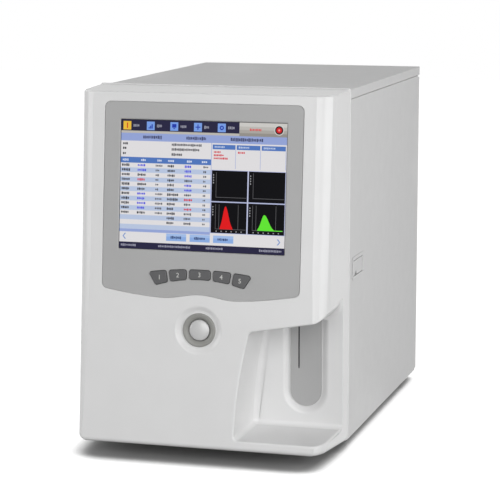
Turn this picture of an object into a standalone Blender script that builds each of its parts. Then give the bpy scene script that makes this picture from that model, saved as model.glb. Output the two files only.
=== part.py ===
"""Bench-top hematology analyzer, modelled as its separate pieces.

Metres, +Z up, X to the right of someone facing the screen, the front faces -Y.
The origin is on the table, under the middle of the box that holds the whole object.
Depths along Y are measured from the plane where the moulded front meets the sheet-metal body.
"""

import math

import bmesh
import bpy
from mathutils import Matrix, Vector

# Fits that every piece shares
GAP = 0.0003
RUN = 0.0005
BORE_FIT_share = 1.5
OVERRUN = 0.002
SHEET = 0.0015

# Sheet-metal body
FOOT_HEIGHT = 0.012
BODY_WIDTH = 0.323
BODY_DEPTH = 0.439
BODY_HEIGHT = 0.4433
COVER_LIP = 0.0122
PAN_RETURN = 0.008
TRAY_FLANGE = 0.012
CORNER_POST = 0.010

# Moulded front, seen from above: flat face, chamfer band, soft roll, side, rear rim
FASCIA_WIDTH = 0.3276
FASCIA_DEPTH = 0.0856
FASCIA_LEAN = math.radians(5.1)
FASCIA_DROP = 0.0019
FASCIA_RISE = 0.0024
FASCIA_WALL = 0.0035
BOSS_START_share = 0.8
FACE_WIDTH = 0.2840
FACE_SPLAY = 0.0075
BAND_WIDTH = 0.3178
BAND_DEPTH = 0.0125
BAND_BULGE = 0.0016
ROLL_WIDTH = 0.3224
ROLL_DEPTH = 0.0220
BAND_DRAFT = 0.0017
BAND_DEEPEN = 0.0015
EDGE_RADIUS = 0.002
RIM_RADIUS = 0.0022
TOP_FALL = math.radians(1.7)
BOTTOM_RISE = math.radians(4.6)
BOTTOM_RADIUS = 0.006
BOTTOM_CORNER = 0.012
TOP_RADIUS = 0.002

# Screen and grey panel, on the leaning face, measured from the middle of the screen
SCREEN_HEIGHT = 0.3414
SCREEN_WIDTH = 0.2112
SCREEN_TALL = 0.1584
SCREEN_REVEAL = 0.0006
GLASS_LAP = 0.0025
GLASS_THICK = 0.0012
WINDOW_RADIUS = 0.001
WINDOW_FLARE = 0.0012
MODULE_LAP = 0.010
MODULE_THICK = 0.011
MODULE_BACK_INSET = 0.014
MODULE_BACK_THICK = 0.006
BEZEL_WIDTH = 0.2528
BEZEL_TOP = 0.1012
BEZEL_THICK = 0.0015
BEZEL_SINK = 0.0005
BEZEL_CORNER = 0.0075
WAVE_LOW = 0.1379
WAVE_AT = 0.045
WAVE_ARCH = 0.0054
WAVE_END_AT = 0.114
WAVE_END_RISE = 0.0073
WAVE_CORNER = 0.014
WAVE_POWER = 1.6

# Function keys under the screen, between two arcs
KEY_TOP = 0.1020
KEY_BOTTOM = 0.1139
KEY_TOP_SAG = 1.16
KEY_BOTTOM_SAG = 2.8
KEY_EDGES_TOP = (0.0135, 0.0170, 0.0400, 0.0434, 0.0662)
KEY_EDGES_BOTTOM = (0.0135, 0.0170, 0.0376, 0.0410, 0.0562)
KEY_RADIUS = 0.0028
KEY_PROUD = 0.0016
KEY_DEPTH = 0.0085
KEY_TRAVEL = 0.0010
KEY_CROWN = 0.0006
BOARD_THICK = 0.0016
BOARD_MARGIN = 0.010
BOARD_DROP_share = 1.5
SWITCH_SIZE = 0.006
SWITCH_HEIGHT = 0.004

# Start button and its ring
START_BELOW = 0.1762
RING_RADIUS = 0.0210
RING_HOLE = 0.0136
RING_NECK = 0.0182
RING_LIP = 0.0022
RING_BEVEL_share = 0.6
RING_CONE = 0.0030
RING_NECK_DEEP = 0.0075
RING_FLARE = 0.0016
DISH_RADIUS = 0.0295
DISH_FLOOR = 0.0232
DISH_DEPTH = 0.0036
DISH_SLOPE_share = 0.75
CAP_RADIUS = 0.0130
CAP_CROWN = 0.0022
CAP_SKIRT = 0.005
START_TRAVEL = 0.0025

# Sample alcove, open to the front and to the right
ALCOVE_LEFT = 0.0476
ALCOVE_SHELF = 0.0330
ALCOVE_BACK = 0.0285
ALCOVE_LEAN_FROM = 0.005
ALCOVE_BEND = 0.88
ALCOVE_WALL_share = 0.85
HOOD_LEFT = 0.1655
HOOD_RISE = math.radians(10)
HOOD_CURVE_AT = 0.1425
HOOD_CURVE = 0.022
HOOD_CORNER = 0.010
SHELF_CORNER = 0.008
ALCOVE_FILLET_LEFT = 0.0600
PLATE_MIDDLE = 0.1141
PLATE_WIDTH = 0.040
PLATE_BOTTOM = 0.0590
PLATE_THICK = 0.002
NICHE_DEPTH = 0.005
NICHE_FLARE = 0.0065
NICHE_CLEAR = 0.0012
BOSS_RADIUS = 0.0045

# Probe lift, behind the hood
PROBE_AHEAD = 0.060
PROBE_TIP = 0.1145
PROBE_RADIUS = 0.0009
LIFT_LEFT = 0.086
LIFT_RIGHT = 0.136
LIFT_BOTTOM = 0.188
LIFT_HEIGHT = 0.174
LIFT_FRONT = 0.034
LIFT_BACK = 0.014
LIFT_FLANGE = 0.026
LIFT_SHEET = 0.003
SCREW_AT = 0.104
ROD_AT = 0.126
ROD_AHEAD = 0.010
ROD_RADIUS = 0.003
SCREW_RADIUS = 0.003
CARRIAGE_ABOVE = 0.018
CARRIAGE_HEIGHT = 0.018
CARRIAGE_SIDE = 0.006
ARM_HALF = 0.006
ARM_THICK = 0.010
ARM_TOP_share = 1.25
ARM_PAST = 0.007
HUB_RADIUS = 0.003
HUB_HEIGHT = 0.006
RINSE_HALF = 0.008
RINSE_HEIGHT = 0.012
RINSE_NECK = 0.0065
RINSE_NECK_DROP = 0.008
PROBE_HOLE = 0.003
MOTOR_SIDE = 0.035
MOTOR_LENGTH = 0.026
MOTOR_BEVEL = 0.003

# Chassis
BULKHEAD_AT = 0.010
FRAME_EDGE = 0.014
FRAME_SILL = 0.175
FRAME_HEAD = 0.030
FRAME_RADIUS = 0.008
CABLE_WINDOW = 0.050
CABLE_WINDOW_X = 0.090
CABLE_WINDOW_TALL = 0.120
BULKHEAD_HOLE = 0.018
BULKHEAD_FOOT = 0.014

# Feet
FOOT_RADIUS = 0.015
FOOT_TAPER = 0.0025
FOOT_EDGE = 0.001
FOOT_IN_X = 0.034
FOOT_FRONT = 0.030
FOOT_REAR = 0.040

# Service door, its pin hinges and its latch
DOOR_ROLL = 0.0042
PIN_RADIUS = 0.0015
PIN_SIDE_share = 1.5
PIN_DEEP = 0.012
HINGE_LEAF = 0.016
HINGE_THICK = 0.002
DOOR_CORNER_CLEAR = 0.008
LATCH_BACK = 0.0206
LATCH_LENGTH = 0.0634
LATCH_TALL = 0.030
LATCH_MIDDLE = 0.2275
LATCH_RIM = 0.003
LATCH_PROUD = 0.0008
CUP_DEPTH = 0.012
CUP_WALL = 0.0016
CUP_RADIUS = 0.003
CUP_INNER_RADIUS = 0.001
PADDLE_THICK = 0.003
PADDLE_PIN = 0.0015
PADDLE_AXIS_share = 1.5
NOTCH_LENGTH = 0.020
NOTCH_END_share = 1.5
NOTCH_TALL = 0.008

# Rear of the body
FAN_SIZE = 0.080
FAN_DEPTH = 0.025
FAN_X = 0.088
FAN_Z = 0.365
FAN_BORE = 0.038
FAN_HUB = 0.016
FAN_BLADES = 7
FAN_TIP_CLEAR = 0.0012
FAN_ROTOR_DEEP = 0.020
FAN_BASE = 0.003
FAN_STRUT_share = 0.75
FAN_STRUT = 0.004
BLADE_THICK = 0.0014
BLADE_ROOT_share = 0.8
BLADE_TIP_share = 0.98
BLADE_DEEP_share = 0.42
BLADE_PITCH = math.radians(38)
GUARD_THICK = 0.0014
GUARD_RING_share = 0.8
GUARD_BAR = 0.0026
GUARD_RING = 0.0022
GUARD_RINGS_share = (0.34, 0.58, 0.82)
INLET_X = 0.110
INLET_Z = 0.075
INLET_WIDTH = 0.030
INLET_TALL = 0.060
INLET_FLANGE = 0.004
INLET_FLANGE_THICK = 0.002
INLET_DEPTH = 0.030
SOCKET_WIDTH = 0.0240
SOCKET_TALL = 0.0170
SOCKET_DEEP = 0.016
SOCKET_DROP = 0.014
SOCKET_CHAMFER = 0.005
BLADE_WIDTH = 0.002
BLADE_TALL = 0.004
BLADE_GAP = 0.007
BLADE_BEHIND = 0.006
ROCKER_WIDTH = 0.012
ROCKER_TALL = 0.020
ROCKER_LIFT = 0.014
ROCKER_PROUD = 0.0025
ROCKER_DEEP = 0.009
ROCKER_ANGLE = math.radians(7)
PORT_X = 0.085
PORT_Z = 0.085
PORT_PITCH = 0.024
PORT_COUNT = 4
PORT_PLATE = 0.002
PORT_PLATE_TALL = 0.034
PORT_REACH = 0.018
PORT_RADIUS = 0.0032
PORT_BARB = 0.0042
PORT_COLLAR = 0.0070
PORT_COLLAR_LONG = 0.004
PORT_BORE = 0.0016
PORT_INNER = 0.010
DATA_X = 0.082
DATA_Z = 0.170
DATA_WIDTH = 0.084
DATA_TALL = 0.020
DATA_DEEP = 0.016
DATA_WALL = 0.0024
DATA_SOCKETS = (0.013, 0.013, 0.0155, 0.022)
DATA_SOCKET_TALL = (0.006, 0.006, 0.0125, 0.009)
DATA_SOCKET_DEEP = 0.012

# Syringe unit on the bulkhead
SYRINGE_Y = (0.075, 0.125)
SYRINGE_OUT = 0.032
SYRINGE_WIDE = 0.056
SYRINGE_BASE = 0.060
SYRINGE_TALL = 0.235
SYRINGE_PLATE = 0.003
SHELF_REACH = 0.056
SHELF_THICK = 0.004
MID_SHELF_UP = 0.110
BARREL_RADIUS = (0.010, 0.0065)
BARREL_WALL = 0.0015
BARREL_LONG = 0.078
BARREL_CAP = 0.008
BARREL_CAP_LIP = 0.002
PLUNGER_ROD = 0.0025
PISTON_LONG = 0.008
BRIDGE_UP = 0.020
BRIDGE_THICK = 0.010
BRIDGE_HALF = 0.008
DRIVE_BACK = 0.018
DRIVE_RADIUS = 0.0025
SYRINGE_MOTOR = 0.028
SYRINGE_MOTOR_TALL = 0.024

# Baths, optics, valves, tank and pump
BATH_Y = (0.215, 0.285)
BATH_Z = 0.225
BATH_RADIUS = 0.016
BATH_TALL = 0.050
BATH_CONE = 0.018
BATH_DRAIN = 0.003
BATH_DRAIN_LONG = 0.010
BATH_LID = 0.004
BATH_LID_LIP = 0.002
BATH_PORT = 0.002
BATH_PORT_TALL = 0.008
BATH_OUT = 0.030
BATH_BRACKET = 0.006
OPTIC_Y = 0.180
OPTIC_LONG = 0.170
OPTIC_Z = 0.318
OPTIC_TALL = 0.062
OPTIC_WIDE = 0.070
OPTIC_BEVEL = 0.003
LASER_RADIUS = 0.014
LASER_LONG = 0.040
DETECTOR_RADIUS = 0.011
DETECTOR_LONG = 0.022
VALVE_Y = 0.190
VALVE_Z = 0.118
VALVE_COUNT = 6
VALVE_PITCH = 0.030
VALVE_BODY = 0.020
VALVE_LONG = 0.034
VALVE_ROW = 0.026
MANIFOLD_THICK = 0.014
MANIFOLD_MARGIN = 0.008
COIL_RADIUS = 0.008
COIL_LONG = 0.018
TANK_X = 0.098
TANK_Y = 0.330
TANK_RADIUS = 0.036
TANK_TALL = 0.130
TANK_SHOULDER = 0.010
TANK_NECK = 0.016
TANK_NECK_TALL = 0.012
TANK_CAP = 0.020
TANK_CAP_TALL = 0.010
PUMP_X = 0.090
PUMP_Y = 0.230
PUMP_RADIUS = 0.020
PUMP_LONG = 0.050
PUMP_HEAD = 0.044
PUMP_HEAD_LONG = 0.024
PUMP_FOOT = 0.006
PUMP_PORT = 0.003
PUMP_PORT_LONG = 0.010

# Electronics, left of the bulkhead
MAIN_Y = 0.060
MAIN_LONG = 0.260
MAIN_Z = 0.150
MAIN_TALL = 0.230
CHIP_UP_share = 0.6
MAIN_STAND = 0.008
STAND_RADIUS = 0.003
STAND_IN = 0.008
CHIP_SIZE = 0.045
CHIP_TALL = 0.018
CHIP_FINS = 5
PLUG_LONG = 0.050
PLUG_TALL = 0.012
SUPPLY_X = 0.095
SUPPLY_Y = 0.235
SUPPLY_WIDE = 0.100
SUPPLY_LONG = 0.165
SUPPLY_TALL = 0.052
SUPPLY_BEVEL = 0.001
TERMINAL_LONG = 0.018
TERMINAL_TALL = 0.016
VENT_COUNT = 8
VENT_PITCH = 0.011
VENT_LONG = 0.070
VENT_TALL = 0.0035
VENT_BACK = 0.040
VENT_Z = 0.060

# Tubes
TUBE_RADIUS = 0.002
TUBE_BEND = 0.014

# Places worked out from the sizes above
BASE = FOOT_HEIGHT
BODY_TOP = BASE + BODY_HEIGHT
BODY_HALF = BODY_WIDTH / 2
FASCIA_BOTTOM = BASE - FASCIA_DROP
FASCIA_TOP = BODY_TOP + FASCIA_RISE
FLOOR = BASE + SHEET
PAN_TOP = BODY_TOP - COVER_LIP - RUN
INNER_HALF = BODY_HALF - PAN_RETURN - RUN
FRAME_FRONT = SHEET + GAP * 2
LEAN = math.tan(FASCIA_LEAN)
WALL_FACE = -BULKHEAD_AT + SHEET


def face_depth(height):
    """Distance from the joint plane forward to the leaning face at this height."""
    return FASCIA_DEPTH + (BODY_TOP - height) * LEAN


def widest_depth():
    """Depth of the face where the bottom rounding meets it, the front-most line of all."""
    rise = math.tan(BOTTOM_RISE)
    start = FASCIA_BOTTOM + BOTTOM_RADIUS
    return (FASCIA_DEPTH + (BODY_TOP - start) * LEAN) / (1 + rise * LEAN)


JOINT_Y = (widest_depth() - BODY_DEPTH - PORT_REACH) / 2


def clear_scene():
    for obj in list(bpy.data.objects):
        bpy.data.objects.remove(obj, do_unlink=True)


clear_scene()
PARTS = bpy.data.collections.new("hematology_analyzer")
TOOLS = bpy.data.collections.new("cutters")
bpy.context.scene.collection.children.link(PARTS)
bpy.context.scene.collection.children.link(TOOLS)


def material(name, colour, roughness, metallic=0.0):
    mat = bpy.data.materials.new(name)
    mat.use_nodes = True
    shader = mat.node_tree.nodes["Principled BSDF"]
    shader.inputs["Base Color"].default_value = (*colour, 1.0)
    shader.inputs["Roughness"].default_value = roughness
    shader.inputs["Metallic"].default_value = metallic
    mat.diffuse_color = (*colour, 1.0)
    return mat


SHELL_WHITE = material("shell_white", (0.78, 0.78, 0.78), 0.35)
COVER_WHITE = material("cover_white", (0.74, 0.74, 0.74), 0.45)
PANEL_GREY = material("panel_grey", (0.40, 0.40, 0.40), 0.45)
KEY_GREY = material("key_grey", (0.13, 0.13, 0.14), 0.5)
RING_GREY = material("ring_grey", (0.22, 0.22, 0.20), 0.4)
CAP_SILVER = material("cap_silver", (0.52, 0.52, 0.53), 0.3)
GLASS_DARK = material("glass_dark", (0.02, 0.03, 0.06), 0.1)
STEEL = material("steel", (0.55, 0.55, 0.56), 0.3, 1.0)
ZINC = material("zinc_sheet", (0.60, 0.61, 0.62), 0.4, 1.0)
ALUMINIUM = material("aluminium", (0.70, 0.71, 0.72), 0.35, 1.0)
BLACK = material("black_plastic", (0.03, 0.03, 0.03), 0.5)
RUBBER = material("rubber", (0.02, 0.02, 0.02), 0.8)
ACRYLIC = material("acrylic", (0.70, 0.78, 0.82), 0.1)
NATURAL = material("natural_plastic", (0.72, 0.71, 0.66), 0.4)
BOARD_GREEN = material("board_green", (0.02, 0.16, 0.07), 0.4)
SILICONE = material("silicone", (0.75, 0.74, 0.70), 0.4)


def add(name, mesh, mat):
    """Links a finished mesh as a piece, or as a hidden tool where it has no material."""
    obj = bpy.data.objects.new(name, mesh)
    if mat is None:
        TOOLS.objects.link(obj)
        obj.hide_render = True
        obj.display_type = "WIRE"
        return obj
    PARTS.objects.link(obj)
    mesh.materials.clear()
    mesh.materials.append(mat)
    mesh.shade_smooth()
    mesh.set_sharp_from_angle(angle=math.radians(35))
    return obj


def at(x, y, z):
    """A place given by its height and by its depth behind the joint plane."""
    return Vector((x, JOINT_Y + y, z))


def box(name, low, high, mat=None, bevel=0.0):
    """A block between two corners. Its origin is its middle."""
    low, high = Vector(low), Vector(high)
    bm = bmesh.new()
    bmesh.ops.create_cube(bm, size=1.0)
    bmesh.ops.scale(bm, vec=high - low, verts=bm.verts)
    mesh = bpy.data.meshes.new(name)
    bm.to_mesh(mesh)
    bm.free()
    obj = add(name, mesh, mat)
    obj.location = (low + high) / 2
    if bevel:
        edge = obj.modifiers.new("edges", "BEVEL")
        edge.width = bevel
        edge.segments = 2
    return obj


def rod(name, start, end, radius, mat=None, sides=16, far_radius=None):
    """A cylinder or a cone from one point to another. Its origin is its start."""
    start, end = Vector(start), Vector(end)
    length = (end - start).length
    bm = bmesh.new()
    far = radius if far_radius is None else far_radius
    bmesh.ops.create_cone(
        bm, cap_ends=True, segments=sides, radius1=radius, radius2=far, depth=length
    )
    bmesh.ops.translate(bm, vec=(0, 0, length / 2), verts=bm.verts)
    mesh = bpy.data.meshes.new(name)
    bm.to_mesh(mesh)
    bm.free()
    obj = add(name, mesh, mat)
    obj.rotation_mode = "QUATERNION"
    obj.rotation_quaternion = (end - start).to_track_quat("Z", "Y")
    obj.location = start
    return obj


def turned(name, profile, origin, direction, mat=None, steps=24):
    """A turned piece: (radius, height) points from the top end down, about an axis."""
    mesh = bpy.data.meshes.new(name)
    points = [(radius, 0, height) for radius, height in profile]
    edges = [(i, i + 1) for i in range(len(points) - 1)]
    if profile[0][0] or profile[-1][0]:
        edges.append((len(points) - 1, 0))
    mesh.from_pydata(points, edges, [])
    obj = add(name, mesh, mat)
    screw = obj.modifiers.new("turn", "SCREW")
    screw.steps = screw.render_steps = steps
    screw.use_merge_vertices = True
    screw.merge_threshold = 0.00001
    obj.rotation_mode = "QUATERNION"
    obj.rotation_quaternion = Vector(direction).to_track_quat("Z", "Y")
    obj.location = origin
    return obj


def rounded(outline, steps=3):
    """The outline's points, with each corner (x, y, radius) turned into an arc."""
    points = []
    count = len(outline)
    for i, (x, y, radius) in enumerate(outline):
        here = Vector((x, y))
        if not radius:
            points.append(here)
            continue
        before = Vector(outline[i - 1][:2]) - here
        after = Vector(outline[(i + 1) % count][:2]) - here
        half = before.angle(after) / 2
        reach = min(radius / math.tan(half), 0.49 * before.length, 0.49 * after.length)
        arc = reach * math.tan(half)
        middle = here + (before.normalized() + after.normalized()).normalized() * (
            arc / math.sin(half)
        )
        start = here + before.normalized() * reach - middle
        end = here + after.normalized() * reach - middle
        turn = start.angle_signed(end)
        for step in range(steps + 1):
            spoke = start.copy()
            spoke.rotate(Matrix.Rotation(-turn * step / steps, 2))
            points.append(middle + spoke)
    return points


def grown(outline, distance):
    """The outline moved outwards by a distance, or inwards where it is negative."""
    count = len(outline)
    area = sum(
        outline[i - 1][0] * outline[i][1] - outline[i][0] * outline[i - 1][1]
        for i in range(count)
    )
    out = 1 if area > 0 else -1
    result = []
    for i, (x, y, radius) in enumerate(outline):
        here = Vector((x, y))
        before = (here - Vector(outline[i - 1][:2])).normalized()
        after = (Vector(outline[(i + 1) % count][:2]) - here).normalized()
        normal_a = Vector((before.y, -before.x)) * out
        normal_b = Vector((after.y, -after.x)) * out
        middle = (normal_a + normal_b).normalized()
        moved = here + middle * (distance / max(middle.dot(normal_a), 0.2))
        convex = (before.x * after.y - before.y * after.x) * out > 0
        new_radius = radius + (distance if convex else -distance)
        result.append((moved.x, moved.y, max(new_radius, radius / 4) if radius else 0.0))
    return result


def rectangle(half_width, low, high, radius=0.0):
    return [
        (-half_width, low, radius),
        (half_width, low, radius),
        (half_width, high, radius),
        (-half_width, high, radius),
    ]


def plate(name, points, thickness, matrix, mat=None):
    """A flat outline with a thickness, from the local plane down the local -Z axis."""
    curve = bpy.data.curves.new(name, "CURVE")
    curve.dimensions = "2D"
    curve.fill_mode = "BOTH"
    curve.extrude = thickness / 2
    spline = curve.splines.new("POLY")
    spline.points.add(len(points) - 1)
    for point, spot in zip(points, spline.points):
        spot.co = (point[0], point[1], 0, 1)
    spline.use_cyclic_u = True
    guide = bpy.data.objects.new(name + "_outline", curve)
    bpy.context.scene.collection.objects.link(guide)
    graph = bpy.context.evaluated_depsgraph_get()
    mesh = bpy.data.meshes.new_from_object(guide.evaluated_get(graph))
    bpy.data.objects.remove(guide, do_unlink=True)
    bpy.data.curves.remove(curve)
    bm = bmesh.new()
    bm.from_mesh(mesh)
    bmesh.ops.remove_doubles(bm, verts=bm.verts, dist=GAP / 100)
    bmesh.ops.translate(bm, vec=(0, 0, -thickness / 2), verts=bm.verts)
    bmesh.ops.recalc_face_normals(bm, faces=bm.faces)
    bm.to_mesh(mesh)
    bm.free()
    obj = add(name, mesh, mat)
    obj.matrix_world = matrix
    return obj


def loft(name, sections, mat=None):
    """A closed solid through sections that have the same number of points."""
    bm = bmesh.new()
    rings = [[bm.verts.new(point) for point in section] for section in sections]
    for low, high in zip(rings, rings[1:]):
        for i in range(len(low)):
            bm.faces.new((low[i - 1], low[i], high[i], high[i - 1]))
    bm.faces.new(reversed(rings[0]))
    bm.faces.new(rings[-1])
    bmesh.ops.triangulate(bm, faces=bm.faces)
    bmesh.ops.recalc_face_normals(bm, faces=bm.faces)
    mesh = bpy.data.meshes.new(name)
    bm.to_mesh(mesh)
    bm.free()
    return add(name, mesh, mat)


def combine(obj, tool, operation):
    change = obj.modifiers.new(tool.name, "BOOLEAN")
    change.operation = operation
    change.object = tool
    change.solver = "EXACT"
    return obj


def cut(obj, *tools):
    for tool in tools:
        combine(obj, tool, "DIFFERENCE")
    return obj


def join(obj, *tools):
    for tool in tools:
        combine(obj, tool, "UNION")
    return obj


def keep(obj, tool):
    return combine(obj, tool, "INTERSECT")


# The leaning face has its own axes: x across, y up along the face, z out of it
FACE = Matrix.Translation(
    (0, JOINT_Y - face_depth(SCREEN_HEIGHT), SCREEN_HEIGHT)
) @ Matrix.Rotation(math.pi / 2 - FASCIA_LEAN, 4, "X")


def on_face(depth=0.0, x=0.0, up=0.0):
    """The face's axes, moved in behind it by a depth."""
    return FACE @ Matrix.Translation((x, up, -depth))


def through_y(y):
    """Axes for an outline in X and Z whose thickness runs back along +Y from this depth."""
    return Matrix.Translation((0, JOINT_Y + y, 0)) @ Matrix.Rotation(math.pi / 2, 4, "X")


def fascia_outline(drop):
    """Right half of the plan at a share of the height from the top: (half width, depth, radius)."""
    band_half = BAND_WIDTH / 2 - BAND_DRAFT * drop
    band_depth = BAND_DEPTH + BAND_DEEPEN * drop
    face_half = FACE_WIDTH / 2 + FACE_SPLAY * max(2 * drop - 1, 0)
    middle_half = (face_half + band_half) / 2 + BAND_BULGE
    return [
        (FASCIA_WIDTH / 2, 0.0, RIM_RADIUS),
        (ROLL_WIDTH / 2 - BAND_DRAFT * drop, ROLL_DEPTH + BAND_DEEPEN * drop, EDGE_RADIUS * 2),
        (band_half, band_depth, EDGE_RADIUS),
        (middle_half, band_depth / 2 - BAND_BULGE, EDGE_RADIUS),
        (face_half, 0.0, EDGE_RADIUS),
    ]


def fascia_section(rear_height, rise, inset, side_inset, rear_y):
    """One tilted section of the front: the same plan, pushed in, on a plane that rises forward."""
    front = (FASCIA_DEPTH + (BODY_TOP - rear_height) * LEAN) / (1 + rise * LEAN) - inset
    half = [(FASCIA_WIDTH / 2 - side_inset, rear_y, RIM_RADIUS)]
    drop = (FASCIA_TOP - rear_height) / (FASCIA_TOP - FASCIA_BOTTOM)
    for width, depth, radius in fascia_outline(drop)[1:]:
        half.append((width - side_inset, -front + depth, radius))
    half[-1] = (half[-1][0] + side_inset / 2, -front, EDGE_RADIUS)
    mirrored = [(-x, y, radius) for x, y, radius in reversed(half)]
    points = rounded(half + mirrored, 2)
    return [at(p.x, p.y, rear_height - rise * p.y) for p in points]


def fall_back(radius, lift):
    """How far a rounded lower edge has drawn in at this height above its lowest point."""
    return radius - math.sqrt(max(radius**2 - max(radius - lift, 0) ** 2, 0))


def fascia_solid(name, inset, rear_y, mat=None):
    """The moulded front as a solid, pushed in by a wall, and cut off at a depth."""
    low, high = math.tan(BOTTOM_RISE), -math.tan(TOP_FALL)
    sections = []
    steps = 5
    for step in range(steps + 1):
        lift = BOTTOM_CORNER * (1 - math.cos(math.pi / 2 * step / steps))
        push = fall_back(BOTTOM_RADIUS, lift)
        side = fall_back(BOTTOM_CORNER, lift)
        height = FASCIA_BOTTOM + inset + lift
        sections.append(fascia_section(height, low, inset + push, inset + side, rear_y))
    middle = (FASCIA_TOP + FASCIA_BOTTOM) / 2
    sections.append(fascia_section(middle, 0.0, inset, inset, rear_y))
    height = FASCIA_TOP - inset - TOP_RADIUS
    sections.append(fascia_section(height, high, inset, inset, rear_y))
    push = TOP_RADIUS / 2
    sections.append(
        fascia_section(FASCIA_TOP - inset, high, inset + push, inset + push, rear_y)
    )
    return loft(name, sections, mat)


def alcove_outline():
    """Front view of the sample alcove, anticlockwise from the shelf's open right end."""
    far = FASCIA_WIDTH / 2 + OVERRUN * 10
    foot = ALCOVE_SHELF - ALCOVE_LEAN_FROM
    outline = [(far, ALCOVE_SHELF, 0.0)]
    slope = math.tan(HOOD_RISE)
    curve_z = HOOD_LEFT + (HOOD_CURVE_AT - ALCOVE_FILLET_LEFT) * slope
    arc = []
    steps = 5
    middle = (
        HOOD_CURVE_AT - HOOD_CURVE * math.sin(HOOD_RISE),
        curve_z + HOOD_CURVE * math.cos(HOOD_RISE),
    )
    for step in range(steps + 1):
        angle = HOOD_RISE + (math.radians(85) - HOOD_RISE) * step / steps
        arc.append(
            (
                middle[0] + HOOD_CURVE * math.sin(angle),
                middle[1] - HOOD_CURVE * math.cos(angle),
                0.0,
            )
        )
    end = arc[-1]
    outline.append((far, end[1] + (far - end[0]) * slope, 0.0))
    outline.extend(reversed(arc))
    outline.append((ALCOVE_FILLET_LEFT, HOOD_LEFT, HOOD_CORNER))
    walls = 4
    for step in range(walls, 0, -1):
        height = ALCOVE_SHELF + (HOOD_LEFT - ALCOVE_SHELF) * ALCOVE_WALL_share * step / walls
        lean = ALCOVE_BEND * (height - foot) ** 2
        outline.append((ALCOVE_LEFT + lean, height, 0.0))
    outline.append((ALCOVE_LEFT, ALCOVE_SHELF, SHELF_CORNER))
    return outline


def hood_height(x):
    """Height of the hood's underside at this x, on its straight stretch."""
    return HOOD_LEFT + (x - ALCOVE_FILLET_LEFT) * math.tan(HOOD_RISE)


def niche_outline(half_width, bottom, top):
    """A slot with a half-round lower end and a square top."""
    outline = []
    steps = 10
    for step in range(steps + 1):
        angle = math.pi + math.pi * step / steps
        outline.append(
            (
                PLATE_MIDDLE + half_width * math.cos(angle),
                bottom + half_width + half_width * math.sin(angle),
            )
        )
    outline.append((PLATE_MIDDLE + half_width, top))
    outline.append((PLATE_MIDDLE - half_width, top))
    return outline


def bezel_outline():
    """The grey panel: straight top and sides, and a lower edge that waves."""
    half = BEZEL_WIDTH / 2
    right = []
    inner = 6
    for step in range(inner + 1):
        x = WAVE_AT * step / inner
        arch = WAVE_ARCH * (1 + math.cos(math.pi * step / inner)) / 2
        right.append((x, -WAVE_LOW + arch, 0.0))
    outer = 4
    for step in range(1, outer + 1):
        share = step / outer
        x = WAVE_AT + (WAVE_END_AT - WAVE_AT) * share
        right.append((x, -WAVE_LOW + WAVE_END_RISE * share**WAVE_POWER, 0.0))
    slope = WAVE_END_RISE * WAVE_POWER / (WAVE_END_AT - WAVE_AT)
    corner_y = -WAVE_LOW + WAVE_END_RISE + (half - WAVE_END_AT) * slope
    right.append((half, corner_y, WAVE_CORNER))
    right.append((half, BEZEL_TOP, BEZEL_CORNER))
    left = [(-x, y, radius) for x, y, radius in reversed(right[1:])]
    return right + left


def key_outline(index):
    """Outline of one of the five keys, in face axes."""
    top, bottom = KEY_EDGES_TOP, KEY_EDGES_BOTTOM
    spans = {
        0: ((-top[4], -top[3]), (-bottom[4], -bottom[3])),
        1: ((-top[2], -top[1]), (-bottom[2], -bottom[1])),
        2: ((-top[0], top[0]), (-bottom[0], bottom[0])),
        3: ((top[1], top[2]), (bottom[1], bottom[2])),
        4: ((top[3], top[4]), (bottom[3], bottom[4])),
    }
    (top_a, top_b), (low_a, low_b) = spans[index]
    top_m, low_m = (top_a + top_b) / 2, (low_a + low_b) / 2

    def low_y(x):
        return -KEY_BOTTOM - KEY_BOTTOM_SAG * x * x

    def top_y(x):
        return -KEY_TOP - KEY_TOP_SAG * x * x

    return [
        (low_a, low_y(low_a), KEY_RADIUS),
        (low_m, low_y(low_m), 0.0),
        (low_b, low_y(low_b), KEY_RADIUS),
        (top_b, top_y(top_b), KEY_RADIUS),
        (top_m, top_y(top_m), 0.0),
        (top_a, top_y(top_a), KEY_RADIUS),
    ]


def centre_of(outline):
    xs = [p[0] for p in outline]
    ys = [p[1] for p in outline]
    return (min(xs) + max(xs)) / 2, (min(ys) + max(ys)) / 2


def moved(outline, x, y):
    return [(p[0] + x, p[1] + y, *p[2:]) for p in outline]


BEZEL_SEAT = BEZEL_SINK + BEZEL_THICK + GAP
GLASS_FRONT = BEZEL_SEAT
KEY_BACK = BEZEL_SINK + KEY_DEPTH - KEY_PROUD
SWITCH_TOP = KEY_BACK + KEY_TRAVEL + GAP
BOARD_FRONT = SWITCH_TOP + SWITCH_HEIGHT
BOARD_TOP = KEY_TOP - BOARD_MARGIN / 2
BOARD_BOTTOM = START_BELOW + BOARD_MARGIN * BOARD_DROP_share
BOARD_HALF = KEY_EDGES_TOP[4] + BOARD_MARGIN
RING_BACK = DISH_DEPTH + RING_NECK_DEEP
BUTTON_FRONT = DISH_DEPTH - CAP_CROWN
BUTTON_BACK = BUTTON_FRONT + CAP_CROWN + CAP_SKIRT
GLASS_HALF = SCREEN_WIDTH / 2 + GLASS_LAP
GLASS_TALL_HALF = SCREEN_TALL / 2 + GLASS_LAP
MODULE_FRONT = FASCIA_WALL + GAP
NICHE_TOP = hood_height(PLATE_MIDDLE - PLATE_WIDTH / 2) - GAP
LIFT_TOP = LIFT_BOTTOM + LIFT_HEIGHT
SCREW_Y = -ROD_AHEAD
CARRIAGE_LOW = LIFT_BOTTOM + LIFT_SHEET + CARRIAGE_ABOVE


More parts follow.
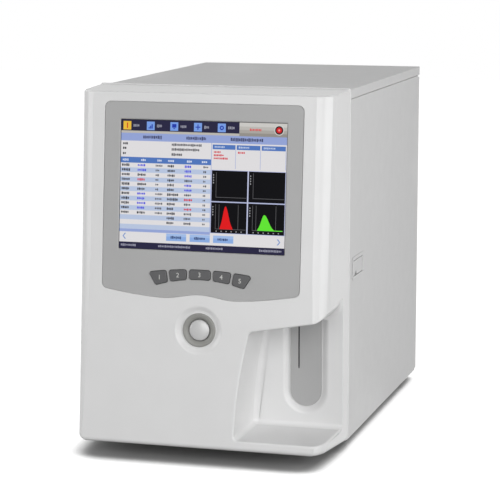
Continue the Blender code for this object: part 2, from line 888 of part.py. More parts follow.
def front_fascia():
    """Moulded front: outer form, inner form, alcove pocket, niche, dish and openings."""
    fascia = fascia_solid("front_fascia", 0.0, 0.0, SHELL_WHITE)
    cavity = fascia_solid("fascia_cavity", FASCIA_WALL, OVERRUN)
    middle = fascia_solid("fascia_middle", FASCIA_WALL / 2, 0.0)
    cut(fascia, cavity)

    outline = alcove_outline()
    reach = FASCIA_DEPTH * 2
    pocket = plate(
        "alcove_pocket",
        rounded(grown(outline, FASCIA_WALL)),
        reach - ALCOVE_BACK + FASCIA_WALL,
        through_y(-reach),
    )
    keep(pocket, middle)
    join(fascia, pocket)

    half = PLATE_WIDTH / 2 + NICHE_CLEAR
    wide = half + NICHE_FLARE
    floor_y = -ALCOVE_BACK + NICHE_DEPTH
    bottom = PLATE_BOTTOM - NICHE_CLEAR
    backing = plate(
        "niche_backing",
        niche_outline(wide + FASCIA_WALL, bottom - NICHE_FLARE - FASCIA_WALL, NICHE_TOP),
        NICHE_DEPTH + FASCIA_WALL,
        through_y(-ALCOVE_BACK + FASCIA_WALL / 2),
    )
    join(fascia, backing)
    cut(
        fascia,
        plate("alcove_cut", rounded(outline), reach - ALCOVE_BACK, through_y(-reach)),
        loft(
            "niche_cut",
            [
                [
                    at(x, -ALCOVE_BACK - OVERRUN, z)
                    for x, z in niche_outline(wide, bottom - NICHE_FLARE, NICHE_TOP)
                ],
                [
                    at(x, -ALCOVE_BACK, z)
                    for x, z in niche_outline(wide, bottom - NICHE_FLARE, NICHE_TOP)
                ],
                [at(x, floor_y, z) for x, z in niche_outline(half, bottom, NICHE_TOP)],
            ],
        ),
        rod(
            "probe_passage",
            at(PLATE_MIDDLE, -PROBE_AHEAD, HOOD_LEFT - OVERRUN),
            at(PLATE_MIDDLE, -PROBE_AHEAD, LIFT_BOTTOM + OVERRUN),
            PROBE_HOLE,
        ),
    )

    join(
        fascia,
        turned(
            "dish_backing",
            [
                (0, -FASCIA_WALL / 2),
                (DISH_RADIUS + FASCIA_WALL, -FASCIA_WALL / 2),
                (DISH_FLOOR + FASCIA_WALL, -FASCIA_WALL - DISH_DEPTH),
                (0, -FASCIA_WALL - DISH_DEPTH),
            ],
            FACE @ Vector((0, -START_BELOW, 0)),
            FACE.to_3x3() @ Vector((0, 0, 1)),
            steps=28,
        ),
    )
    cut(
        fascia,
        turned(
            "dish_cut",
            [
                (0, OVERRUN),
                (DISH_RADIUS, OVERRUN),
                (DISH_RADIUS, 0),
                (DISH_FLOOR, -DISH_DEPTH * DISH_SLOPE_share),
                (RING_RADIUS, -DISH_DEPTH),
                (RING_NECK + GAP, -DISH_DEPTH),
                (RING_NECK + GAP, -DISH_DEPTH - FASCIA_WALL - OVERRUN),
                (0, -DISH_DEPTH - FASCIA_WALL - OVERRUN),
            ],
            FACE @ Vector((0, -START_BELOW, 0)),
            FACE.to_3x3() @ Vector((0, 0, 1)),
            steps=32,
        ),
        plate(
            "panel_recess",
            rounded(grown(bezel_outline(), GAP), 4),
            BEZEL_SEAT + OVERRUN,
            on_face(-OVERRUN),
        ),
        plate(
            "screen_opening",
            rounded(
                rectangle(
                    GLASS_HALF + GAP,
                    -GLASS_TALL_HALF - GAP,
                    GLASS_TALL_HALF + GAP,
                    WINDOW_RADIUS,
                )
            ),
            FASCIA_WALL + OVERRUN * 2,
            on_face(-OVERRUN),
        ),
        plate(
            "key_opening",
            rounded(
                rectangle(
                    KEY_EDGES_TOP[4] + RUN,
                    -KEY_BOTTOM - KEY_BOTTOM_SAG * KEY_EDGES_BOTTOM[4] ** 2 - RUN,
                    -KEY_TOP + RUN,
                    KEY_RADIUS,
                )
            ),
            FASCIA_WALL + OVERRUN * 2,
            on_face(-OVERRUN),
        ),
    )

    for number, (x, z) in enumerate(boss_places()):
        start = at(x, FRAME_FRONT - GAP, z)
        end = at(x, -face_depth(z) + FASCIA_WALL / 2, z)
        if z < ALCOVE_SHELF:
            end = at(x, -face_depth(z) + FASCIA_WALL, z)
        join(fascia, rod(f"fascia_boss_{number}", start, end, BOSS_RADIUS, sides=10))
    board_half = BOARD_HALF - BOARD_MARGIN / 2
    for number, side in enumerate((-1, 1)):
        start = on_face(FASCIA_WALL * BOSS_START_share, side * board_half, -KEY_BOTTOM - BOARD_MARGIN)
        end = on_face(BOARD_FRONT - GAP, side * board_half, -KEY_BOTTOM - BOARD_MARGIN)
        tool = rod(
            f"board_boss_{number}", start.translation, end.translation, BOSS_RADIUS, sides=10
        )
        join(fascia, tool)
    return fascia


def boss_places():
    """The long screw bosses that meet the front frame: two above, two below."""
    side = FACE_WIDTH / 2 - BOSS_RADIUS
    high = PAN_TOP - BOSS_RADIUS - OVERRUN
    low = BASE + TRAY_FLANGE + BOSS_RADIUS + OVERRUN
    return [(-side, high), (side, high), (-side, low), (ALCOVE_LEFT - BOSS_RADIUS * 3, low)]


def display_pieces():
    bezel = plate("display_bezel", rounded(bezel_outline(), 4), BEZEL_THICK, on_face(BEZEL_SINK), PANEL_GREY)
    window_half = SCREEN_WIDTH / 2 + SCREEN_REVEAL
    window_tall = SCREEN_TALL / 2 + SCREEN_REVEAL
    flare = WINDOW_FLARE
    sections = []
    for depth, more in (
        (BEZEL_SINK - OVERRUN, flare * (1 + OVERRUN / BEZEL_THICK)),
        (BEZEL_SINK + BEZEL_THICK, 0.0),
        (BEZEL_SINK + BEZEL_THICK + OVERRUN, 0.0),
    ):
        corners = rectangle(
            window_half + more, -window_tall - more, window_tall + more, WINDOW_RADIUS + more
        )
        sections.append([on_face(depth) @ p.to_3d() for p in rounded(corners)])
    cut(bezel, loft("window_cut", sections))
    for index in range(5):
        outline = grown(key_outline(index), GAP)
        cut(
            bezel,
            plate(
                f"key_hole_{index + 1}",
                rounded(outline),
                BEZEL_THICK + OVERRUN * 2,
                on_face(BEZEL_SINK - OVERRUN),
            ),
        )
    plate(
        "display_glass",
        rounded(rectangle(GLASS_HALF, -GLASS_TALL_HALF, GLASS_TALL_HALF, WINDOW_RADIUS)),
        GLASS_THICK,
        on_face(GLASS_FRONT),
        GLASS_DARK,
    )
    module_half = GLASS_HALF + MODULE_LAP
    module_tall = GLASS_TALL_HALF + MODULE_LAP
    module = plate(
        "display_module",
        rounded(rectangle(module_half, -module_tall, module_tall, WINDOW_RADIUS * 2)),
        MODULE_THICK,
        on_face(MODULE_FRONT),
        ZINC,
    )
    back_half = module_half - MODULE_BACK_INSET
    back_tall = module_tall - MODULE_BACK_INSET
    join(
        module,
        plate(
            "module_back",
            rounded(rectangle(back_half, -back_tall, back_tall, WINDOW_RADIUS * 2)),
            MODULE_BACK_THICK + MODULE_THICK / 2,
            on_face(MODULE_FRONT + MODULE_THICK / 2),
        ),
    )


def board_outline():
    """The switch board: wide behind the keys, narrow behind the start button."""
    waist = -KEY_BOTTOM - BOARD_MARGIN * 2
    stem = RING_RADIUS + BOARD_MARGIN
    return [
        (-stem, -BOARD_BOTTOM),
        (stem, -BOARD_BOTTOM),
        (stem, waist - BOARD_MARGIN),
        (BOARD_HALF, waist),
        (BOARD_HALF, -BOARD_TOP),
        (-BOARD_HALF, -BOARD_TOP),
        (-BOARD_HALF, waist),
        (-stem, waist - BOARD_MARGIN),
    ]


def keys_and_board():
    for index in range(5):
        outline = key_outline(index)
        x, y = centre_of(outline)
        local = moved(outline, -x, -y)
        sections = []
        for depth, shrink in (
            (0.0, KEY_CROWN * 2),
            (KEY_CROWN, 0.0),
            (KEY_DEPTH, 0.0),
        ):
            ring = rounded(grown(local, -shrink) if shrink else local)
            sections.append([Vector((p.x, p.y, KEY_PROUD - BEZEL_SINK - depth)) for p in ring])
        key = loft(f"key_{index + 1}", sections, KEY_GREY)
        key.matrix_world = on_face(0.0, x, y)

    board = plate(
        "front_board",
        board_outline(),
        BOARD_THICK,
        on_face(BOARD_FRONT),
        BOARD_GREEN,
    )
    half = SWITCH_SIZE / 2
    for index in range(5):
        x, y = centre_of(key_outline(index))
        tool = plate(
            f"key_switch_{index + 1}",
            [(x - half, y - half), (x + half, y - half), (x + half, y + half), (x - half, y + half)],
            BOARD_FRONT - SWITCH_TOP + BOARD_THICK / 2,
            on_face(SWITCH_TOP),
        )
        join(board, tool)
    start_top = BUTTON_BACK + START_TRAVEL + GAP
    if start_top < BOARD_FRONT:
        tool = plate(
            "start_switch",
            [
                (-half, -START_BELOW - half),
                (half, -START_BELOW - half),
                (half, -START_BELOW + half),
                (-half, -START_BELOW + half),
            ],
            BOARD_FRONT - start_top + BOARD_THICK / 2,
            on_face(start_top),
        )
        join(board, tool)


def start_button():
    place = FACE @ Vector((0, -START_BELOW, 0))
    out = FACE.to_3x3() @ Vector((0, 0, 1))
    seat = -DISH_DEPTH + GAP
    turned(
        "start_ring",
        [
            (RING_HOLE + RING_FLARE, seat + RING_LIP * RING_BEVEL_share),
            (RING_RADIUS - RING_LIP / 2, seat + RING_LIP),
            (RING_RADIUS, seat + RING_LIP / 2),
            (RING_RADIUS, seat),
            (RING_NECK, seat),
            (RING_NECK, -RING_BACK),
            (RING_HOLE, -RING_BACK),
            (RING_HOLE, seat - RING_CONE / 2),
        ],
        place,
        out,
        RING_GREY,
        steps=40,
    )
    top = -BUTTON_FRONT
    steps = 4
    crown = []
    for step in range(steps + 1):
        angle = math.pi / 2 * step / steps
        crown.append((CAP_RADIUS * math.sin(angle), top - CAP_CROWN * (1 - math.cos(angle))))
    turned(
        "start_button",
        crown + [(CAP_RADIUS, -BUTTON_BACK), (0, -BUTTON_BACK)],
        place,
        out,
        CAP_SILVER,
        steps=32,
    )


def alcove_plate():
    plate(
        "alcove_plate",
        niche_outline(PLATE_WIDTH / 2, PLATE_BOTTOM, NICHE_TOP - GAP),
        PLATE_THICK,
        through_y(-ALCOVE_BACK + NICHE_DEPTH - GAP - PLATE_THICK),
        PANEL_GREY,
    )


def probe_lift():
    frame = box(
        "probe_frame",
        at(LIFT_LEFT, -LIFT_FRONT, LIFT_BOTTOM),
        at(LIFT_LEFT + LIFT_SHEET, LIFT_BACK, LIFT_TOP),
        ZINC,
    )
    over = LIFT_SHEET / 2
    for name, low in (("lift_shelf_low", LIFT_BOTTOM), ("lift_shelf_high", LIFT_TOP - LIFT_SHEET)):
        join(
            frame,
            box(
                name,
                at(LIFT_LEFT + over, -LIFT_FRONT + over, low),
                at(LIFT_RIGHT, LIFT_BACK - over, low + LIFT_SHEET),
            ),
        )
    tongue_half = RINSE_HALF + LIFT_SHEET
    join(
        frame,
        box(
            "lift_tongue",
            at(PLATE_MIDDLE - tongue_half, -PROBE_AHEAD - tongue_half, LIFT_BOTTOM),
            at(PLATE_MIDDLE + tongue_half, -LIFT_FRONT + LIFT_SHEET, LIFT_BOTTOM + LIFT_SHEET),
        ),
        box(
            "lift_flange",
            at(LIFT_LEFT - LIFT_FLANGE, FRAME_FRONT - GAP - LIFT_SHEET, LIFT_BOTTOM + LIFT_FLANGE),
            at(LIFT_LEFT + over, FRAME_FRONT - GAP, LIFT_TOP - LIFT_FLANGE),
        ),
        rod(
            "lift_rod",
            at(ROD_AT, -ROD_AHEAD, LIFT_BOTTOM + over),
            at(ROD_AT, -ROD_AHEAD, LIFT_TOP - over),
            ROD_RADIUS,
            sides=12,
        ),
    )
    cut(
        frame,
        rod(
            "rinse_seat",
            at(PLATE_MIDDLE, -PROBE_AHEAD, LIFT_BOTTOM - OVERRUN),
            at(PLATE_MIDDLE, -PROBE_AHEAD, LIFT_BOTTOM + LIFT_SHEET + OVERRUN),
            RINSE_NECK + GAP,
        ),
        rod(
            "screw_way",
            at(SCREW_AT, SCREW_Y, LIFT_TOP - LIFT_SHEET - OVERRUN),
            at(SCREW_AT, SCREW_Y, LIFT_TOP + OVERRUN),
            SCREW_RADIUS + GAP,
        ),
    )

    rod(
        "probe_screw",
        at(SCREW_AT, SCREW_Y, LIFT_BOTTOM + LIFT_SHEET + GAP),
        at(SCREW_AT, SCREW_Y, LIFT_TOP),
        SCREW_RADIUS,
        STEEL,
        sides=12,
    )
    half = MOTOR_SIDE / 2
    box(
        "probe_motor",
        at(SCREW_AT - half, SCREW_Y - half, LIFT_TOP + GAP),
        at(SCREW_AT + half, SCREW_Y + half, LIFT_TOP + GAP + MOTOR_LENGTH),
        BLACK,
        MOTOR_BEVEL,
    )

    carriage = box(
        "probe_carriage",
        at(SCREW_AT - SCREW_RADIUS - CARRIAGE_SIDE, SCREW_Y - CARRIAGE_SIDE * 2, CARRIAGE_LOW),
        at(
            ROD_AT + ROD_RADIUS + CARRIAGE_SIDE / 2,
            SCREW_Y + CARRIAGE_SIDE * 2,
            CARRIAGE_LOW + CARRIAGE_HEIGHT,
        ),
        ALUMINIUM,
    )
    join(
        carriage,
        box(
            "probe_arm",
            at(PLATE_MIDDLE - ARM_HALF, -PROBE_AHEAD - ARM_PAST, CARRIAGE_LOW + ARM_THICK / 4),
            at(PLATE_MIDDLE + ARM_HALF, SCREW_Y, CARRIAGE_LOW + ARM_THICK * ARM_TOP_share),
        ),
    )
    past = OVERRUN
    for name, x, radius in (("screw_bore", SCREW_AT, SCREW_RADIUS), ("rod_bore", ROD_AT, ROD_RADIUS)):
        cut(
            carriage,
            rod(
                name,
                at(x, SCREW_Y, CARRIAGE_LOW - past),
                at(x, SCREW_Y, CARRIAGE_LOW + CARRIAGE_HEIGHT + past),
                radius + GAP * BORE_FIT_share,
            ),
        )
    arm_top = CARRIAGE_LOW + ARM_THICK * ARM_TOP_share
    cut(
        carriage,
        rod(
            "probe_bore",
            at(PLATE_MIDDLE, -PROBE_AHEAD, CARRIAGE_LOW - past),
            at(PLATE_MIDDLE, -PROBE_AHEAD, arm_top + past),
            PROBE_RADIUS + GAP,
            sides=8,
        ),
    )
    turned(
        "sample_probe",
        [
            (0, arm_top + GAP + HUB_HEIGHT),
            (HUB_RADIUS, arm_top + GAP + HUB_HEIGHT),
            (HUB_RADIUS, arm_top + GAP),
            (PROBE_RADIUS, arm_top + GAP),
            (PROBE_RADIUS, PROBE_TIP + PROBE_RADIUS * 2),
            (PROBE_RADIUS / 3, PROBE_TIP),
            (0, PROBE_TIP),
        ],
        at(PLATE_MIDDLE, -PROBE_AHEAD, 0),
        (0, 0, 1),
        STEEL,
        steps=8,
    )
    seat = LIFT_BOTTOM + LIFT_SHEET + GAP
    rinse = box(
        "rinse_block",
        at(PLATE_MIDDLE - RINSE_HALF, -PROBE_AHEAD - RINSE_HALF, seat),
        at(PLATE_MIDDLE + RINSE_HALF, -PROBE_AHEAD + RINSE_HALF, seat + RINSE_HEIGHT),
        NATURAL,
    )
    join(
        rinse,
        rod(
            "rinse_neck",
            at(PLATE_MIDDLE, -PROBE_AHEAD, seat + RINSE_HEIGHT / 2),
            at(PLATE_MIDDLE, -PROBE_AHEAD, seat - RINSE_NECK_DROP),
            RINSE_NECK,
        ),
    )
    cut(
        rinse,
        rod(
            "rinse_bore",
            at(PLATE_MIDDLE, -PROBE_AHEAD, seat - RINSE_NECK_DROP - OVERRUN),
            at(PLATE_MIDDLE, -PROBE_AHEAD, seat + RINSE_HEIGHT + OVERRUN),
            PROBE_RADIUS + GAP,
            sides=8,
        ),
    )


def pan(name, outer_x, side, front, back, low, high, mat):
    """A sheet panel with its edges folded in, on one side of the body."""
    inner_x = outer_x - side * PAN_RETURN
    panel = box(
        name,
        at(min(outer_x, inner_x), front, low),
        at(max(outer_x, inner_x), back, high),
        mat,
    )
    face = outer_x - side * SHEET
    deep = inner_x - side * OVERRUN
    cut(
        panel,
        box(
            name + "_inside",
            at(min(face, deep), front + SHEET, low + SHEET),
            at(max(face, deep), back - SHEET, high - SHEET),
        ),
    )
    return panel


def body_covers():
    half = INNER_HALF
    tray = box(
        "base_tray",
        at(-half, GAP, BASE),
        at(half, BODY_DEPTH - SHEET - GAP, BASE + TRAY_FLANGE),
        ZINC,
    )
    cut(
        tray,
        box(
            "tray_inside",
            at(-half + SHEET, GAP + SHEET, FLOOR),
            at(half - SHEET, BODY_DEPTH - SHEET * 2 - GAP, BASE + TRAY_FLANGE + OVERRUN),
        ),
    )
    cover = box(
        "top_cover",
        at(-BODY_HALF, GAP, BODY_TOP - COVER_LIP),
        at(BODY_HALF, BODY_DEPTH, BODY_TOP),
        COVER_WHITE,
    )
    cut(
        cover,
        box(
            "cover_inside",
            at(-BODY_HALF + SHEET, GAP + SHEET, BODY_TOP - COVER_LIP - OVERRUN),
            at(BODY_HALF - SHEET, BODY_DEPTH - SHEET, BODY_TOP - SHEET),
        ),
    )
    left = pan(
        "left_panel",
        -BODY_HALF,
        -1,
        RUN,
        BODY_DEPTH - SHEET - GAP,
        BASE,
        PAN_TOP,
        COVER_WHITE,
    )
    vent = box(
        "vent_slots",
        at(-BODY_HALF - OVERRUN, BODY_DEPTH - VENT_BACK - VENT_LONG, VENT_Z),
        at(-BODY_HALF + SHEET + OVERRUN, BODY_DEPTH - VENT_BACK, VENT_Z + VENT_TALL),
    )
    slots = vent.modifiers.new("slots", "ARRAY")
    slots.count = VENT_COUNT
    slots.use_relative_offset = False
    slots.use_constant_offset = True
    slots.constant_offset_displace = (0, 0, VENT_PITCH)
    cut(left, vent)

    rear = box(
        "rear_panel",
        at(-BODY_HALF, BODY_DEPTH - SHEET, BASE),
        at(BODY_HALF - CORNER_POST, BODY_DEPTH, PAN_TOP),
        COVER_WHITE,
    )
    hole = BODY_DEPTH - SHEET - OVERRUN
    past = BODY_DEPTH + OVERRUN
    cut(
        rear,
        rod("fan_hole", at(-FAN_X, hole, FAN_Z), at(-FAN_X, past, FAN_Z), FAN_BORE, sides=32),
        box(
            "inlet_hole",
            at(-INLET_X - INLET_WIDTH / 2 - GAP, hole, INLET_Z - INLET_TALL / 2 - GAP),
            at(-INLET_X + INLET_WIDTH / 2 + GAP, past, INLET_Z + INLET_TALL / 2 + GAP),
        ),
        box(
            "data_hole",
            at(-DATA_X - DATA_WIDTH / 2 + DATA_WALL / 2, hole, DATA_Z - DATA_TALL / 2 + DATA_WALL / 2),
            at(-DATA_X + DATA_WIDTH / 2 - DATA_WALL / 2, past, DATA_Z + DATA_TALL / 2 - DATA_WALL / 2),
        ),
    )
    for number, x in enumerate(port_places()):
        cut(
            rear,
            rod(f"port_hole_{number}", at(x, hole, PORT_Z), at(x, past, PORT_Z), PORT_RADIUS + RUN, sides=12),
        )


def port_places():
    first = PORT_X - PORT_PITCH * (PORT_COUNT - 1) / 2
    return [first + PORT_PITCH * index for index in range(PORT_COUNT)]


def chassis():
    high = BODY_TOP - SHEET - GAP
    frame_half = INNER_HALF - SHEET - GAP
    frame = box(
        "front_frame",
        at(-frame_half, FRAME_FRONT, FLOOR + GAP),
        at(frame_half, FRAME_FRONT + SHEET, high),
        ZINC,
    )
    y0, y1 = -OVERRUN, SHEET * 2 + OVERRUN * 2
    top = high - FRAME_HEAD
    for name, low_x, high_x, low_z in (
        ("cable_window", -CABLE_WINDOW_X, CABLE_WINDOW - CABLE_WINDOW_X, top - CABLE_WINDOW_TALL),
        ("lift_window", LIFT_LEFT - RUN, frame_half - FRAME_EDGE, FRAME_SILL),
    ):
        outline = [
            (low_x, low_z, FRAME_RADIUS),
            (high_x, low_z, FRAME_RADIUS),
            (high_x, top, FRAME_RADIUS),
            (low_x, top, FRAME_RADIUS),
        ]
        cut(frame, plate(name, rounded(outline), y1 - y0, through_y(y0)))

    back = BODY_DEPTH - SHEET * 2 - GAP * 2
    wall = box(
        "bulkhead",
        at(-BULKHEAD_AT, SHEET * 2 + GAP * 3, FLOOR + GAP),
        at(WALL_FACE, back, high),
        ZINC,
    )
    join(
        wall,
        box(
            "bulkhead_foot",
            at(-BULKHEAD_AT - BULKHEAD_FOOT, SHEET * 2 + GAP * 3 + SHEET, FLOOR + GAP),
            at(-BULKHEAD_AT + SHEET / 2, back - SHEET * 3, FLOOR + GAP + SHEET),
        ),
    )
    holes = (
        (SYRINGE_Y[1] + SYRINGE_WIDE, OPTIC_Z - BULKHEAD_HOLE * 2),
        (TANK_Y + TANK_RADIUS, OPTIC_Z),
    )
    for number, (y, z) in enumerate(holes):
        cut(
            wall,
            rod(
                f"bulkhead_hole_{number}",
                at(-BULKHEAD_AT - OVERRUN, y, z),
                at(WALL_FACE + OVERRUN, y, z),
                BULKHEAD_HOLE,
                sides=20,
            ),
        )


def feet():
    places = {
        "foot_front_left": (-BODY_HALF + FOOT_IN_X, FOOT_FRONT),
        "foot_front_right": (BODY_HALF - FOOT_IN_X, FOOT_FRONT),
        "foot_rear_left": (-BODY_HALF + FOOT_IN_X, BODY_DEPTH - FOOT_REAR),
        "foot_rear_right": (BODY_HALF - FOOT_IN_X, BODY_DEPTH - FOOT_REAR),
    }
    low = FOOT_RADIUS - FOOT_TAPER
    for name, (x, y) in places.items():
        turned(
            name,
            [
                (0, FOOT_HEIGHT - GAP),
                (FOOT_RADIUS, FOOT_HEIGHT - GAP),
                (low, FOOT_EDGE),
                (low - FOOT_EDGE, 0),
                (0, 0),
            ],
            at(x, y, 0),
            (0, 0, 1),
            RUBBER,
            steps=20,
        )


HINGE_X = BODY_HALF - DOOR_ROLL
HINGE_Y = BODY_DEPTH - DOOR_ROLL
ROLL_LOW = BASE + HINGE_THICK + RUN
ROLL_HIGH = PAN_TOP - HINGE_THICK - RUN


def service_door():
    """Right side panel: folded pan, rolled rear edge with a pin bore at each end."""
    pan_back = HINGE_Y - DOOR_CORNER_CLEAR
    door = pan("service_door", BODY_HALF, 1, RUN, pan_back, BASE, PAN_TOP, COVER_WHITE)
    join(
        door,
        box(
            "door_strip",
            at(BODY_HALF - SHEET, pan_back - SHEET / 2, ROLL_LOW),
            at(BODY_HALF, HINGE_Y, ROLL_HIGH),
        ),
        rod(
            "door_roll",
            at(HINGE_X, HINGE_Y, ROLL_LOW),
            at(HINGE_X, HINGE_Y, ROLL_HIGH),
            DOOR_ROLL,
            sides=20,
        ),
    )
    bore = PIN_RADIUS + GAP
    cut(
        door,
        rod(
            "pin_bore_low",
            at(HINGE_X, HINGE_Y, ROLL_LOW - OVERRUN),
            at(HINGE_X, HINGE_Y, ROLL_LOW + PIN_DEEP + RUN),
            bore,
            sides=12,
        ),
        rod(
            "pin_bore_high",
            at(HINGE_X, HINGE_Y, ROLL_HIGH + OVERRUN),
            at(HINGE_X, HINGE_Y, ROLL_HIGH - PIN_DEEP - RUN),
            bore,
            sides=12,
        ),
        plate(
            "latch_hole",
            rounded(latch_outline(GAP, CUP_RADIUS), 2),
            SHEET + OVERRUN * 2,
            through_x(BODY_HALF + OVERRUN),
        ),
    )
    set_origin(door, at(HINGE_X, HINGE_Y, 0))

    for name, low, high, pin_end in (
        ("door_hinge_lower", BASE, BASE + HINGE_THICK, ROLL_LOW + PIN_DEEP),
        ("door_hinge_upper", PAN_TOP - HINGE_THICK, PAN_TOP, ROLL_HIGH - PIN_DEEP),
    ):
        leaf_in = INNER_HALF - HINGE_LEAF if name.endswith("upper") else INNER_HALF + GAP
        leaf = box(
            name,
            at(leaf_in, HINGE_Y - PIN_RADIUS * 2, low),
            at(HINGE_X + PIN_RADIUS * PIN_SIDE_share, BODY_DEPTH - SHEET - GAP, high),
            STEEL,
        )
        join(
            leaf,
            rod(
                name + "_pin",
                at(HINGE_X, HINGE_Y, (low + high) / 2),
                at(HINGE_X, HINGE_Y, pin_end),
                PIN_RADIUS,
                sides=12,
            ),
        )


def set_origin(obj, place):
    """Moves the origin without moving the piece, so that it lies on the joint's axis."""
    shift = obj.location - place
    obj.data.transform(Matrix.Translation(shift))
    obj.location = place


def through_x(x):
    """Axes for an outline in Y and Z whose thickness runs inwards along -X."""
    turn = Matrix.Rotation(math.pi / 2, 4, "Z") @ Matrix.Rotation(math.pi / 2, 4, "X")
    return Matrix.Translation((x, JOINT_Y, 0)) @ turn


def latch_outline(more, radius):
    inner_low = LATCH_MIDDLE - LATCH_TALL / 2 + LATCH_RIM
    inner_high = LATCH_MIDDLE + LATCH_TALL / 2 - LATCH_RIM
    return [
        (LATCH_BACK + LATCH_RIM - more, inner_low - more, radius),
        (LATCH_BACK + LATCH_LENGTH - LATCH_RIM + more, inner_low - more, radius),
        (LATCH_BACK + LATCH_LENGTH - LATCH_RIM + more, inner_high + more, radius),
        (LATCH_BACK + LATCH_RIM - more, inner_high + more, radius),
    ]


PADDLE_AXIS_Z = LATCH_MIDDLE + LATCH_TALL / 2 - LATCH_RIM - CUP_WALL - PADDLE_PIN * 2
PADDLE_AXIS_X = BODY_HALF - PADDLE_PIN * PADDLE_AXIS_share


def latch():
    rim = grown(latch_outline(0.0, CUP_RADIUS), LATCH_RIM)
    cup = plate(
        "latch_cup",
        rounded(rim, 2),
        LATCH_PROUD,
        through_x(BODY_HALF + GAP + LATCH_PROUD),
        COVER_WHITE,
    )
    join(
        cup,
        plate(
            "cup_body",
            rounded(latch_outline(0.0, CUP_RADIUS), 2),
            CUP_DEPTH + LATCH_PROUD / 2 + GAP,
            through_x(BODY_HALF + GAP + LATCH_PROUD / 2),
        ),
    )
    inner = latch_outline(-CUP_WALL, CUP_INNER_RADIUS)
    cut(
        cup,
        plate(
            "cup_inside",
            rounded(inner, 2),
            CUP_DEPTH - CUP_WALL + OVERRUN,
            through_x(BODY_HALF + OVERRUN),
        ),
    )
    y0 = LATCH_BACK + LATCH_RIM + CUP_WALL + RUN
    y1 = LATCH_BACK + LATCH_LENGTH - LATCH_RIM - CUP_WALL - RUN
    z_low = LATCH_MIDDLE - LATCH_TALL / 2 + LATCH_RIM + CUP_WALL + RUN
    z_high = PADDLE_AXIS_Z + PADDLE_PIN
    face = BODY_HALF
    paddle = box(
        "latch_paddle",
        at(face - PADDLE_THICK, y0, z_low),
        at(face, y1, z_high),
        PANEL_GREY,
    )
    cut(
        paddle,
        box(
            "finger_notch",
            at(face - PADDLE_THICK - OVERRUN, y0 + NOTCH_LENGTH / 2, z_low - OVERRUN),
            at(face + OVERRUN, y0 + NOTCH_LENGTH * NOTCH_END_share, z_low + NOTCH_TALL),
        ),
    )
    set_origin(paddle, at(PADDLE_AXIS_X, (y0 + y1) / 2, PADDLE_AXIS_Z))


